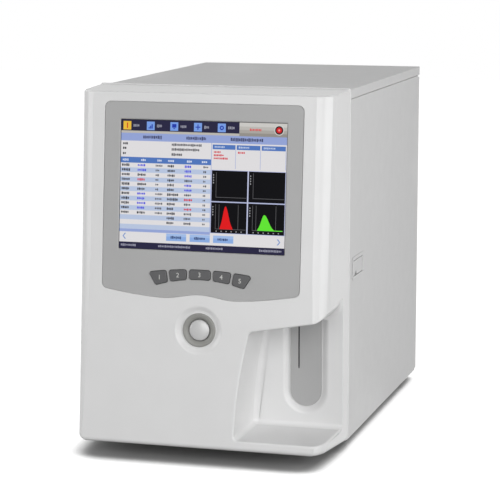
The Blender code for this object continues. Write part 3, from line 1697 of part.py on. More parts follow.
def rear_fittings():
    back = BODY_DEPTH - SHEET - GAP
    front = back - FAN_DEPTH
    half = FAN_SIZE / 2
    frame = box(
        "fan_frame",
        at(-FAN_X - half, front, FAN_Z - half),
        at(-FAN_X + half, back, FAN_Z + half),
        BLACK,
    )
    cut(
        frame,
        rod(
            "fan_bore",
            at(-FAN_X, front - OVERRUN, FAN_Z),
            at(-FAN_X, back + OVERRUN, FAN_Z),
            FAN_BORE,
            sides=32,
        ),
    )
    join(
        frame,
        rod("fan_base", at(-FAN_X, front, FAN_Z), at(-FAN_X, front + FAN_BASE, FAN_Z), FAN_HUB, sides=20),
        box(
            "fan_strut_flat",
            at(-FAN_X - FAN_BORE - OVERRUN, front + FAN_BASE / 4, FAN_Z - FAN_STRUT / 2),
            at(-FAN_X + FAN_BORE + OVERRUN, front + FAN_BASE * FAN_STRUT_share, FAN_Z + FAN_STRUT / 2),
        ),
        box(
            "fan_strut_upright",
            at(-FAN_X - FAN_STRUT / 2, front + FAN_BASE / 4, FAN_Z - FAN_BORE - OVERRUN),
            at(-FAN_X + FAN_STRUT / 2, front + FAN_BASE * FAN_STRUT_share, FAN_Z + FAN_BORE + OVERRUN),
        ),
    )
    rotor_front = front + FAN_BASE + GAP
    rotor_back = rotor_front + FAN_ROTOR_DEEP
    rotor = rod(
        "fan_rotor",
        at(-FAN_X, rotor_front, FAN_Z),
        at(-FAN_X, rotor_back, FAN_Z),
        FAN_HUB,
        BLACK,
        sides=20,
    )
    tip = FAN_BORE - FAN_TIP_CLEAR
    for index in range(FAN_BLADES):
        turn = 2 * math.pi * index / FAN_BLADES
        blade = box(
            f"fan_blade_{index}",
            (FAN_HUB * BLADE_ROOT_share, -BLADE_THICK / 2, -FAN_ROTOR_DEEP * BLADE_DEEP_share),
            (tip * BLADE_TIP_share, BLADE_THICK / 2, FAN_ROTOR_DEEP * BLADE_DEEP_share),
        )
        blade.matrix_world = (
            Matrix.Translation(at(-FAN_X, (rotor_front + rotor_back) / 2, FAN_Z))
            @ Matrix.Rotation(math.pi / 2, 4, "X")
            @ Matrix.Rotation(turn, 4, "Z")
            @ Matrix.Rotation(BLADE_PITCH, 4, "X")
            @ Matrix.Translation(((FAN_HUB * BLADE_ROOT_share + tip * BLADE_TIP_share) / 2, 0, 0))
        )
        join(rotor, blade)

    outside = BODY_DEPTH + GAP
    guard = box(
        "fan_guard",
        at(-FAN_X - half, outside, FAN_Z - half),
        at(-FAN_X + half, outside + GUARD_THICK, FAN_Z + half),
        STEEL,
    )
    cut(
        guard,
        rod(
            "guard_bore",
            at(-FAN_X, outside - OVERRUN, FAN_Z),
            at(-FAN_X, outside + GUARD_THICK + OVERRUN, FAN_Z),
            FAN_BORE,
            sides=32,
        ),
    )
    for number, share in enumerate(GUARD_RINGS_share):
        radius = FAN_BORE * share
        join(
            guard,
            turned(
                f"guard_ring_{number}",
                [
                    (radius, GUARD_THICK * GUARD_RING_share),
                    (radius + GUARD_RING, GUARD_THICK * GUARD_RING_share),
                    (radius + GUARD_RING, GUARD_THICK * 0.2),
                    (radius, GUARD_THICK * 0.2),
                ],
                at(-FAN_X, outside, FAN_Z),
                (0, 1, 0),
                steps=24,
            ),
        )
    for number in range(2):
        bar = box(
            f"guard_bar_{number}",
            (-FAN_BORE - GUARD_BAR, -GUARD_THICK * 0.4, -GUARD_BAR / 2),
            (FAN_BORE + GUARD_BAR, GUARD_THICK * 0.4, GUARD_BAR / 2),
        )
        bar.matrix_world = (
            Matrix.Translation(at(-FAN_X, outside + GUARD_THICK / 2, FAN_Z))
            @ Matrix.Rotation(math.pi / 4 + math.pi / 2 * number, 4, "Y")
        )
        join(guard, bar)


def power_inlet():
    low, high = INLET_Z - INLET_TALL / 2, INLET_Z + INLET_TALL / 2
    left, right = -INLET_X - INLET_WIDTH / 2, -INLET_X + INLET_WIDTH / 2
    outside = BODY_DEPTH + GAP
    inlet = box(
        "power_inlet",
        at(left - INLET_FLANGE, outside, low - INLET_FLANGE),
        at(right + INLET_FLANGE, outside + INLET_FLANGE_THICK, high + INLET_FLANGE),
        BLACK,
    )
    join(
        inlet,
        box(
            "inlet_body",
            at(left, outside - INLET_DEPTH, low),
            at(right, outside + INLET_FLANGE_THICK / 2, high),
        ),
    )
    face = outside + INLET_FLANGE_THICK
    middle = INLET_Z - SOCKET_DROP
    half, tall = SOCKET_WIDTH / 2, SOCKET_TALL / 2
    outline = [
        (-INLET_X - half, middle - tall, 0.0),
        (-INLET_X + half, middle - tall, 0.0),
        (-INLET_X + half, middle + tall - SOCKET_CHAMFER, 0.0),
        (-INLET_X + half - SOCKET_CHAMFER, middle + tall, 0.0),
        (-INLET_X - half + SOCKET_CHAMFER, middle + tall, 0.0),
        (-INLET_X - half, middle + tall - SOCKET_CHAMFER, 0.0),
    ]
    cut(inlet, plate("socket_cut", rounded(outline), SOCKET_DEEP + OVERRUN, through_y(face - SOCKET_DEEP)))
    blades = (
        (-BLADE_GAP, -BLADE_TALL / 2),
        (0, BLADE_TALL / 2),
        (BLADE_GAP, -BLADE_TALL / 2),
    )
    for number, (dx, dz) in enumerate(blades):
        x, z = -INLET_X + dx, middle + dz
        join(
            inlet,
            box(
                f"inlet_blade_{number}",
                at(x - BLADE_WIDTH / 2, face - SOCKET_DEEP - OVERRUN, z - BLADE_TALL / 2),
                at(x + BLADE_WIDTH / 2, face - BLADE_BEHIND, z + BLADE_TALL / 2),
            ),
        )
    rocker_z = INLET_Z + ROCKER_LIFT
    half, tall = ROCKER_WIDTH / 2, ROCKER_TALL / 2
    cut(
        inlet,
        box(
            "rocker_well",
            at(-INLET_X - half - RUN, face - ROCKER_DEEP - BLADE_GAP / 2, rocker_z - tall - RUN * 2),
            at(-INLET_X + half + RUN, face + OVERRUN, rocker_z + tall + RUN * 2),
        ),
    )
    dip = (tall - RUN) * math.tan(ROCKER_ANGLE)
    outline = [
        (-tall + RUN, ROCKER_PROUD, 0.0),
        (0.0, ROCKER_PROUD - dip, 0.0),
        (tall - RUN, ROCKER_PROUD, 0.0),
        (tall - RUN * 2, 0.0, 0.0),
        (tall / 3, -ROCKER_DEEP, 0.0),
        (-tall / 3, -ROCKER_DEEP, 0.0),
        (-tall + RUN * 2, 0.0, 0.0),
    ]
    axes = (
        Matrix.Translation(at(-INLET_X + half, face, rocker_z))
        @ Matrix.Rotation(math.pi / 2, 4, "Z")
        @ Matrix.Rotation(math.pi / 2, 4, "X")
        @ Matrix.Rotation(-math.pi / 2 - ROCKER_ANGLE, 4, "Z")
    )
    rocker = plate("power_rocker", [(p[0], p[1]) for p in outline], ROCKER_WIDTH, axes, BLACK)
    return rocker


def rear_ports():
    outside = BODY_DEPTH + GAP
    axis = (0, 1, 0)
    half = PORT_PITCH * PORT_COUNT / 2
    ports = box(
        "fluid_ports",
        at(PORT_X - half, outside, PORT_Z - PORT_PLATE_TALL / 2),
        at(PORT_X + half, outside + PORT_PLATE, PORT_Z + PORT_PLATE_TALL / 2),
        NATURAL,
    )
    for number, x in enumerate(port_places()):
        end = PORT_REACH - GAP
        step = (end - PORT_COLLAR_LONG) / 3
        nipple = turned(
            f"port_nipple_{number}",
            [
                (PORT_BORE, end),
                (PORT_RADIUS, end),
                (PORT_BARB, end - step),
                (PORT_RADIUS, end - step),
                (PORT_BARB, end - step * 2),
                (PORT_RADIUS, end - step * 2),
                (PORT_RADIUS, PORT_COLLAR_LONG),
                (PORT_COLLAR, PORT_COLLAR_LONG),
                (PORT_COLLAR, PORT_PLATE / 2),
                (PORT_RADIUS, PORT_PLATE / 2),
                (PORT_RADIUS, -PORT_INNER),
                (PORT_BORE, -PORT_INNER),
            ],
            at(x, outside, PORT_Z),
            axis,
            steps=12,
        )
        way = rod(
            f"port_bore_{number}",
            at(x, outside - PORT_INNER - OVERRUN, PORT_Z),
            at(x, outside + PORT_REACH + OVERRUN, PORT_Z),
            PORT_BORE,
            sides=8,
        )
        cut(ports, way)
        join(ports, nipple)

    back = BODY_DEPTH - SHEET - GAP
    data = box(
        "data_ports",
        at(-DATA_X - DATA_WIDTH / 2, back - DATA_DEEP, DATA_Z - DATA_TALL / 2),
        at(-DATA_X + DATA_WIDTH / 2, back, DATA_Z + DATA_TALL / 2),
        STEEL,
    )
    spare = DATA_WIDTH - sum(DATA_SOCKETS)
    step = spare / (len(DATA_SOCKETS) + 1)
    x = -DATA_X - DATA_WIDTH / 2 + step
    for number, (wide, tall) in enumerate(zip(DATA_SOCKETS, DATA_SOCKET_TALL)):
        cut(
            data,
            box(
                f"data_socket_{number}",
                at(x, back - DATA_SOCKET_DEEP, DATA_Z - tall / 2),
                at(x + wide, back + OVERRUN, DATA_Z + tall / 2),
            ),
        )
        x += wide + step


def syringe_unit():
    """Two glass syringes on one bracket, each plunger driven by its own lead screw."""
    low, high = SYRINGE_BASE, SYRINGE_BASE + SYRINGE_TALL
    y0 = SYRINGE_Y[0] - SYRINGE_WIDE / 2
    y1 = SYRINGE_Y[1] + SYRINGE_WIDE / 2
    wall = WALL_FACE + GAP
    frame = box(
        "syringe_frame",
        at(wall, y0, low),
        at(wall + SYRINGE_PLATE, y1, high),
        ALUMINIUM,
    )
    mid = low + MID_SHELF_UP
    out = wall + SHELF_REACH
    over = SYRINGE_PLATE / 2
    head = mid + SHELF_THICK + BARREL_LONG + GAP * 2
    for name, z in (("syringe_shelf_low", low), ("syringe_shelf_mid", mid), ("syringe_shelf_head", head)):
        join(frame, box(name, at(wall + over, y0 + over, z), at(out, y1 - over, z + SHELF_THICK)))
    rod_x = wall + SYRINGE_OUT
    drive_x = rod_x - DRIVE_BACK
    for number, (y, radius) in enumerate(zip(SYRINGE_Y, BARREL_RADIUS), 1):
        inner = radius - BARREL_WALL
        cut(
            frame,
            rod(
                f"rod_way_{number}",
                at(rod_x, y, mid - OVERRUN),
                at(rod_x, y, mid + SHELF_THICK + OVERRUN),
                PLUNGER_ROD + RUN,
                sides=12,
            ),
            rod(
                f"drive_way_{number}",
                at(drive_x, y, low - OVERRUN),
                at(drive_x, y, low + SHELF_THICK + OVERRUN),
                DRIVE_RADIUS + GAP,
                sides=12,
            ),
        )
        seat = mid + SHELF_THICK + GAP
        turned(
            f"syringe_barrel_{number}",
            [
                (inner, BARREL_LONG),
                (radius, BARREL_LONG),
                (radius, BARREL_CAP),
                (radius + BARREL_CAP_LIP, BARREL_CAP),
                (radius + BARREL_CAP_LIP, 0),
                (inner, 0),
            ],
            at(rod_x, y, seat),
            (0, 0, 1),
            ACRYLIC,
            steps=20,
        )
        bridge_low = low + SHELF_THICK + BRIDGE_UP
        bridge = box(
            f"syringe_plunger_{number}",
            at(drive_x - BRIDGE_HALF, y - BRIDGE_HALF, bridge_low),
            at(rod_x + BRIDGE_HALF, y + BRIDGE_HALF, bridge_low + BRIDGE_THICK),
            ALUMINIUM,
        )
        piston_top = seat + PISTON_LONG + BARREL_CAP
        join(
            bridge,
            rod(
                f"plunger_rod_{number}",
                at(rod_x, y, bridge_low + BRIDGE_THICK / 2),
                at(rod_x, y, piston_top - PISTON_LONG / 2),
                PLUNGER_ROD,
                sides=10,
            ),
            rod(
                f"piston_{number}",
                at(rod_x, y, piston_top - PISTON_LONG),
                at(rod_x, y, piston_top),
                inner - GAP,
                sides=20,
            ),
        )
        cut(
            bridge,
            rod(
                f"nut_bore_{number}",
                at(drive_x, y, bridge_low - OVERRUN),
                at(drive_x, y, bridge_low + BRIDGE_THICK + OVERRUN),
                DRIVE_RADIUS + GAP,
                sides=12,
            ),
        )
        rod(
            f"syringe_screw_{number}",
            at(drive_x, y, low),
            at(drive_x, y, mid - GAP),
            DRIVE_RADIUS,
            STEEL,
            sides=10,
        )
        half = SYRINGE_MOTOR / 2
        box(
            f"syringe_motor_{number}",
            at(drive_x - half, y - half, low - GAP - SYRINGE_MOTOR_TALL),
            at(drive_x + half, y + half, low - GAP),
            BLACK,
            MOTOR_BEVEL,
        )


def fluidics():
    wall = WALL_FACE + GAP
    for name, y in zip(("bath_white", "bath_red"), BATH_Y):
        x = wall + BATH_OUT
        top = BATH_TALL + BATH_CONE
        bath = turned(
            name,
            [
                (0, top + BATH_LID),
                (BATH_RADIUS + BATH_LID_LIP, top + BATH_LID),
                (BATH_RADIUS + BATH_LID_LIP, top),
                (BATH_RADIUS, top),
                (BATH_RADIUS, BATH_CONE),
                (BATH_DRAIN, 0),
                (BATH_DRAIN, -BATH_DRAIN_LONG),
                (0, -BATH_DRAIN_LONG),
            ],
            at(x, y, BATH_Z),
            (0, 0, 1),
            ACRYLIC,
            steps=20,
        )
        join(
            bath,
            box(
                name + "_bracket",
                at(wall, y - BATH_RADIUS / 2, BATH_Z + BATH_CONE + BATH_BRACKET),
                at(x, y + BATH_RADIUS / 2, BATH_Z + top - BATH_BRACKET),
            ),
            rod(
                name + "_port",
                at(x, y, BATH_Z + top),
                at(x, y, BATH_Z + top + BATH_LID + BATH_PORT_TALL),
                BATH_PORT,
                sides=10,
            ),
        )

    optic = box(
        "optical_module",
        at(wall, OPTIC_Y, OPTIC_Z),
        at(wall + OPTIC_WIDE, OPTIC_Y + OPTIC_LONG, OPTIC_Z + OPTIC_TALL),
        ALUMINIUM,
        OPTIC_BEVEL,
    )
    mid_z = OPTIC_Z + OPTIC_TALL / 2
    mid_x = wall + OPTIC_WIDE / 2
    far = OPTIC_Y + OPTIC_LONG
    join(
        optic,
        rod(
            "laser",
            at(mid_x, far - OPTIC_BEVEL * 2, mid_z),
            at(mid_x, far + LASER_LONG, mid_z),
            LASER_RADIUS,
            sides=20,
        ),
        rod(
            "detector",
            at(wall + OPTIC_WIDE - OPTIC_BEVEL * 2, OPTIC_Y + OPTIC_LONG / 3, mid_z),
            at(wall + OPTIC_WIDE + DETECTOR_LONG, OPTIC_Y + OPTIC_LONG / 3, mid_z),
            DETECTOR_RADIUS,
            sides=16,
        ),
    )

    low = VALVE_Z - VALVE_ROW / 2 - VALVE_BODY / 2 - MANIFOLD_MARGIN
    high = VALVE_Z + VALVE_ROW / 2 + VALVE_BODY / 2 + MANIFOLD_MARGIN
    length = VALVE_PITCH * (VALVE_COUNT - 1) + VALVE_BODY + MANIFOLD_MARGIN * 2
    bank = box(
        "valve_bank",
        at(wall, VALVE_Y, low),
        at(wall + MANIFOLD_THICK, VALVE_Y + length, high),
        ALUMINIUM,
    )
    for index in range(VALVE_COUNT):
        y = VALVE_Y + MANIFOLD_MARGIN + VALVE_BODY / 2 + VALVE_PITCH * index
        for row in (-1, 1):
            z = VALVE_Z + row * VALVE_ROW / 2
            half = VALVE_BODY / 2
            base = wall + MANIFOLD_THICK
            join(
                bank,
                box(
                    f"valve_{index}_{row + 1}",
                    at(base - MANIFOLD_THICK / 2, y - half, z - half),
                    at(base + VALVE_LONG - COIL_LONG, y + half, z + half),
                ),
                rod(
                    f"coil_{index}_{row + 1}",
                    at(base, y, z),
                    at(base + VALVE_LONG, y, z),
                    COIL_RADIUS,
                    sides=12,
                ),
            )

    turned(
        "vacuum_chamber",
        [
            (0, TANK_TALL + TANK_NECK_TALL + TANK_CAP_TALL),
            (TANK_CAP, TANK_TALL + TANK_NECK_TALL + TANK_CAP_TALL),
            (TANK_CAP, TANK_TALL + TANK_NECK_TALL),
            (TANK_NECK, TANK_TALL + TANK_NECK_TALL),
            (TANK_NECK, TANK_TALL),
            (TANK_RADIUS, TANK_TALL - TANK_SHOULDER),
            (TANK_RADIUS, 0),
            (0, 0),
        ],
        at(TANK_X, TANK_Y, FLOOR + GAP),
        (0, 0, 1),
        NATURAL,
        steps=28,
    )

    base = FLOOR + GAP
    middle = base + PUMP_FOOT + PUMP_HEAD / 2
    pump = box(
        "liquid_pump",
        at(PUMP_X - PUMP_HEAD / 2, PUMP_Y - PUMP_HEAD_LONG / 2, base),
        at(PUMP_X + PUMP_HEAD / 2, PUMP_Y + PUMP_HEAD_LONG / 2, middle + PUMP_HEAD / 2),
        BLACK,
        MOTOR_BEVEL,
    )
    join(
        pump,
        rod(
            "pump_motor",
            at(PUMP_X, PUMP_Y, middle),
            at(PUMP_X, PUMP_Y - PUMP_HEAD_LONG / 2 - PUMP_LONG, middle),
            PUMP_RADIUS,
            sides=20,
        ),
        rod(
            "pump_port",
            at(PUMP_X, PUMP_Y, middle),
            at(PUMP_X, PUMP_Y, middle + PUMP_HEAD / 2 + PUMP_PORT_LONG),
            PUMP_PORT,
            sides=10,
        ),
    )


def electronics():
    face = -BULKHEAD_AT - GAP
    back = face - MAIN_STAND
    board = box(
        "main_board",
        at(back - BOARD_THICK, MAIN_Y, MAIN_Z),
        at(back, MAIN_Y + MAIN_LONG, MAIN_Z + MAIN_TALL),
        BOARD_GREEN,
    )
    for number, (y, z) in enumerate(
        (
            (MAIN_Y + STAND_IN, MAIN_Z + STAND_IN),
            (MAIN_Y + MAIN_LONG - STAND_IN, MAIN_Z + STAND_IN),
            (MAIN_Y + STAND_IN, MAIN_Z + MAIN_TALL - STAND_IN),
            (MAIN_Y + MAIN_LONG - STAND_IN, MAIN_Z + MAIN_TALL - STAND_IN),
        )
    ):
        start = at(back - BOARD_THICK / 2, y, z)
        join(board, rod(f"board_stand_{number}", start, at(face, y, z), STAND_RADIUS, sides=6))
    chip_y = MAIN_Y + MAIN_LONG / 2
    chip_z = MAIN_Z + MAIN_TALL * CHIP_UP_share
    front = back - BOARD_THICK
    fin = CHIP_SIZE / (CHIP_FINS * 2 - 1)
    join(
        board,
        box(
            "chip_base",
            at(front - CHIP_TALL / 3, chip_y, chip_z),
            at(front + BOARD_THICK / 2, chip_y + CHIP_SIZE, chip_z + CHIP_SIZE),
        ),
    )
    for index in range(CHIP_FINS):
        y = chip_y + fin * index * 2
        join(
            board,
            box(
                f"chip_fin_{index}",
                at(front - CHIP_TALL, y, chip_z + fin / 4),
                at(front - CHIP_TALL / 4, y + fin, chip_z + CHIP_SIZE - fin / 4),
            ),
        )
    for index in range(3):
        y = MAIN_Y + STAND_IN * 2 + (PLUG_LONG + STAND_IN) * index
        join(
            board,
            box(
                f"board_plug_{index}",
                at(front - PLUG_TALL, y, MAIN_Z + STAND_IN * 2),
                at(front + BOARD_THICK / 2, y + PLUG_LONG, MAIN_Z + STAND_IN * 2 + PLUG_TALL),
            ),
        )
    low = FLOOR + GAP
    half = SUPPLY_WIDE / 2
    supply = box(
        "power_supply",
        at(-SUPPLY_X - half, SUPPLY_Y, low),
        at(-SUPPLY_X + half, SUPPLY_Y + SUPPLY_LONG, low + SUPPLY_TALL),
        ZINC,
        SUPPLY_BEVEL,
    )
    inside = half - SHEET
    cut(
        supply,
        box(
            "supply_inside",
            at(-SUPPLY_X - inside, SUPPLY_Y + TERMINAL_LONG, low + SHEET),
            at(-SUPPLY_X + inside, SUPPLY_Y + SUPPLY_LONG - SHEET, low + SUPPLY_TALL - SHEET),
        ),
        box(
            "terminal_step",
            at(-SUPPLY_X - half - OVERRUN, SUPPLY_Y - OVERRUN, low + TERMINAL_TALL),
            at(-SUPPLY_X + half + OVERRUN, SUPPLY_Y + TERMINAL_LONG + SHEET, low + SUPPLY_TALL + OVERRUN),
        ),
    )


def tube(name, points, radius, mat):
    """A bent tube through corner points, each corner rounded by the tube's own bend."""
    route = []
    for i, point in enumerate(points):
        if i in (0, len(points) - 1):
            route.append(Vector(point))
            continue
        before = (Vector(points[i - 1]) - Vector(point)).normalized()
        after = (Vector(points[i + 1]) - Vector(point)).normalized()
        start = Vector(point) + before * TUBE_BEND
        end = Vector(point) + after * TUBE_BEND
        for step in range(5):
            t = step / 4
            route.append(start * (1 - t) ** 2 + Vector(point) * 2 * t * (1 - t) + end * t * t)
    curve = bpy.data.curves.new(name, "CURVE")
    curve.dimensions = "3D"
    curve.bevel_depth = radius
    curve.bevel_resolution = 2
    curve.use_fill_caps = True
    spline = curve.splines.new("POLY")
    spline.points.add(len(route) - 1)
    for place, spot in zip(route, spline.points):
        spot.co = (*place, 1)
    curve.materials.append(mat)
    obj = bpy.data.objects.new(name, curve)
    PARTS.objects.link(obj)
    return obj


def tubes():
    wall = WALL_FACE + GAP
    bath_x = wall + BATH_OUT
    coil = VALVE_Z + VALVE_ROW / 2 + VALVE_BODY / 2
    for name, y in zip(("drain_tube_white", "drain_tube_red"), BATH_Y):
        tube(
            name,
            [
                at(bath_x, y, BATH_Z - BATH_DRAIN_LONG - GAP),
                at(bath_x, y, coil + MANIFOLD_MARGIN + TUBE_BEND * 2),
                at(wall + MANIFOLD_THICK / 2, y, coil + MANIFOLD_MARGIN + TUBE_BEND * 2),
                at(wall + MANIFOLD_THICK / 2, y, coil + MANIFOLD_MARGIN + GAP),
            ],
            TUBE_RADIUS,
            SILICONE,
        )


front_fascia()
display_pieces()
keys_and_board()
start_button()
alcove_plate()
probe_lift()
body_covers()
chassis()
feet()
service_door()
latch()
rear_fittings()
power_inlet()
rear_ports()
syringe_unit()
fluidics()
electronics()
tubes()
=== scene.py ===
import random
from math import atan, copysign, cos, exp, pi, radians, sin, sqrt, tan

import bmesh
import bpy
from mathutils import Matrix, Vector
from mathutils.bvhtree import BVHTree


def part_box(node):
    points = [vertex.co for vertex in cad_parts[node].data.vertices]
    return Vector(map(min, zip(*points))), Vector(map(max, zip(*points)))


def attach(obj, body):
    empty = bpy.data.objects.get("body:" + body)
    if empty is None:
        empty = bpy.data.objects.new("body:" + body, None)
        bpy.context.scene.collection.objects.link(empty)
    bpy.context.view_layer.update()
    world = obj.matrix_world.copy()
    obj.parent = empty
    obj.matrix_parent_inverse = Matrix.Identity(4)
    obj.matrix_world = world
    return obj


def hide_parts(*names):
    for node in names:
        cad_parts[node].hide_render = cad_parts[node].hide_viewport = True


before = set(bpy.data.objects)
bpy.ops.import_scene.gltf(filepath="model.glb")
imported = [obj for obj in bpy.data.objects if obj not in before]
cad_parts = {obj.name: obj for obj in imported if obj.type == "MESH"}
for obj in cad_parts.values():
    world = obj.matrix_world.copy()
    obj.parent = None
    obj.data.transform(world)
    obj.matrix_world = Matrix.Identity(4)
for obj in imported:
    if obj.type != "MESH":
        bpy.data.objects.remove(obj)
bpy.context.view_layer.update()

MM = 0.001

# Moulded front housing.
# One ABS shell, injection moulded: a leaning face with a convex band down each side,
# a dish for the start button and an alcove that is open to the front and the right.

JOINT_Y = -0.166546
LEAN_ANGLE = radians(5.1)
LEAN = tan(LEAN_ANGLE)
BODY_TOP = 0.4553
RIM_PROUD = 1.2 * MM
SHELL_TOP = BODY_TOP + 2.4 * MM - RIM_PROUD
SHELL_FOOT = 0.0117 - 1.6 * MM
SHELL_DEPTH = 85.6 * MM
SHELL_HALF = 163.8 * MM - 0.7 * RIM_PROUD
SHELL_WALL = 3.5 * MM
FACE_HALF = 142.0 * MM
FACE_SPLAY = 7.5 * MM
BAND_HALF = 158.9 * MM
BAND_DEPTH = 12.5 * MM
BAND_BULGE = 1.4 * MM
BAND_DRAFT = 1.7 * MM
BAND_DEEPEN = 1.5 * MM
BAND_CREASE = 1.6 * MM
ROLL_ROUND = 6 * MM
REAR_ROUND = 2.2 * MM
RIM_ROUND = 2.4 * MM
FACE_CUT_OUT = 5 * MM
FACE_CUT_DEEP = 9 * MM
ROLL_HALF = 161.2 * MM
ROLL_DEPTH = 22.0 * MM
TOP_FALL = -tan(radians(1.7))
TOP_EDGE = 2 * MM
FOOT_RISE = tan(radians(4.6))
FOOT_CORNER = 8 * MM
FOOT_NOSE = 5.6 * MM
SCREEN_UP = 0.3414
CUT, ADD, KEEP = "DIFFERENCE", "UNION", "INTERSECT"


def depth_at(height):
    """How far the face stands ahead of the joint at a height."""
    return SHELL_DEPTH + (BODY_TOP - height) * LEAN


FACE = Matrix.Translation((0, JOINT_Y - depth_at(SCREEN_UP), SCREEN_UP)) @ Matrix.Rotation(
    pi / 2 - LEAN_ANGLE, 4, "X"
)


def on_face(depth=0.0, x=0.0, up=0.0):
    """The face's own axes, moved in behind it: x across, y up the face, z out of it."""
    return FACE @ Matrix.Translation((x, up, -depth))


def across(y):
    """Axes of an upright plane that looks to the front, at this distance from the joint."""
    return Matrix(((1, 0, 0, 0), (0, 0, -1, JOINT_Y + y), (0, 1, 0, 0), (0, 0, 0, 1)))


def in_world(points, matrix, height=0.0):
    return [matrix @ Vector((p[0], p[1], height)) for p in points]


def mm(*rows):
    """Rows of millimetres as metres."""
    return [tuple(value * MM for value in row) for row in rows]


def shares(steps, first=0):
    """Even shares of a way, up to its end."""
    return [step / steps for step in range(first, steps + 1)]


def quarter(steps):
    """Even angles of a quarter turn, both ends included."""
    return [pi / 2 * step / steps for step in range(steps + 1)]


def rounded(outline, steps=6):
    """The outline's points, with each corner (x, y, radius) turned into an arc."""
    points = []
    for i, (x, y, radius) in enumerate(outline):
        here = Vector((x, y))
        if not radius:
            points.append(here)
            continue
        before = Vector(outline[i - 1][:2]) - here
        after = Vector(outline[(i + 1) % len(outline)][:2]) - here
        half = before.angle(after) / 2
        reach = min(radius / tan(half), 0.49 * before.length, 0.49 * after.length)
        arc = reach * tan(half)
        inward = (before.normalized() + after.normalized()).normalized()
        middle = here + inward * (arc / sin(half))
        start = here + before.normalized() * reach - middle
        turn = start.angle_signed(here + after.normalized() * reach - middle)
        for step in range(steps + 1):
            spoke = start.copy()
            spoke.rotate(Matrix.Rotation(-turn * step / steps, 2))
            points.append(middle + spoke)
    return points


def mirrored(right, seam=0):
    """A right half's points and then the same to the left, less those on the seam."""
    return right + [(-x, y, radius) for x, y, radius in reversed(right[seam:])]


def box_line(left, low, right, high, radius, steps=3):
    """A rectangle with rounded corners."""
    corners = ((left, low), (right, low), (right, high), (left, high))
    return rounded([(x, y, radius) for x, y in corners], steps)


def offset(points, distance):
    """A closed line of points moved outwards by a distance, or inwards where it is negative."""
    count = len(points)
    area = sum(points[i - 1][0] * points[i][1] - points[i][0] * points[i - 1][1] for i in range(count))
    side = copysign(1, area)
    result = []
    for i in range(count):
        here = Vector(points[i][:2])
        before = (here - Vector(points[i - 1][:2])).normalized()
        after = (Vector(points[(i + 1) % count][:2]) - here).normalized()
        first = Vector((before.y, -before.x)) * side
        middle = (first + Vector((after.y, -after.x)) * side).normalized()
        result.append(here + middle * (distance / max(middle.dot(first), 0.3)))
    return result


def placed(name, data):
    """An object of the scene that holds this mesh, lamp, curve or lens."""
    piece = bpy.data.objects.new(name, data)
    bpy.context.scene.collection.objects.link(piece)
    return piece


def new_piece(name, bm, tag=None):
    """A piece whose faces carry a finish, or a word by which later steps know them."""
    mesh = bpy.data.meshes.new(name)
    bm.to_mesh(mesh)
    bm.free()
    if isinstance(tag, str):
        tag = bpy.data.materials.get(tag) or bpy.data.materials.new(tag)
    if tag:
        mesh.materials.append(tag)
    return placed(name, mesh)


def applied(piece):
    """Keeps what its modifiers make of the piece as its plain mesh."""
    graph = bpy.context.evaluated_depsgraph_get()
    mesh = bpy.data.meshes.new_from_object(piece.evaluated_get(graph))
    piece.modifiers.clear()
    piece.data = mesh
    return piece


def loft(name, sections, tag=None):
    """A closed solid through rings that have the same number of points."""
    bm = bmesh.new()
    rings = [[bm.verts.new(p) for p in ring] for ring in sections]
    for low, high in zip(rings, rings[1:]):
        for i in range(len(low)):
            bm.faces.new((low[i - 1], low[i], high[i], high[i - 1]))
    bm.faces.new(reversed(rings[0]))
    bm.faces.new(rings[-1])
    bmesh.ops.recalc_face_normals(bm, faces=bm.faces)
    return new_piece(name, bm, tag)


def slab(name, points, matrix, front, back, tag=None):
    """A flat outline in the matrix's plane, from a height in front of it to one behind it."""
    return loft(name, [in_world(points, matrix, back), in_world(points, matrix, front)], tag)


def carve(piece, *tools):
    """Joins and cuts with pairs of an operation and a tool, then drops the tools."""
    for operation, tool in tools:
        change = piece.modifiers.new(tool.name, "BOOLEAN")
        change.operation = operation
        change.object = tool
        change.solver = "EXACT"
        change.material_mode = "TRANSFER"
    applied(piece)
    for operation, tool in tools:
        bpy.data.objects.remove(tool)
    return piece


def shell_ring(height, rise, inset, side_inset, rear, steps):
    """One section of the shell on a plane that rises forward, pushed in by an inset."""
    front = depth_at(height) / (1 + rise * LEAN) - inset
    drop = (SHELL_TOP - height) / (SHELL_TOP - SHELL_FOOT)
    face = FACE_HALF + FACE_SPLAY * max(2 * drop - 1, 0)
    band, deep = BAND_HALF - BAND_DRAFT * drop, BAND_DEPTH + BAND_DEEPEN * drop
    half = [
        (SHELL_HALF - side_inset, rear, REAR_ROUND),
        (ROLL_HALF - BAND_DRAFT * drop - side_inset, ROLL_DEPTH + BAND_DEEPEN * drop - front, ROLL_ROUND),
        (band - side_inset, deep - front, BAND_CREASE),
    ]
    for share in (0.8, 0.6, 0.4, 0.2):
        swell = BAND_BULGE * sin(pi * share)
        half.append((face + (band - face) * share - side_inset + swell, deep * share - swell - front, 0.0))
    half.append((face - side_inset / 2, -front, BAND_CREASE))
    return [Vector((p.x, JOINT_Y + p.y, height - rise * p.y)) for p in rounded(mirrored(half), steps)]


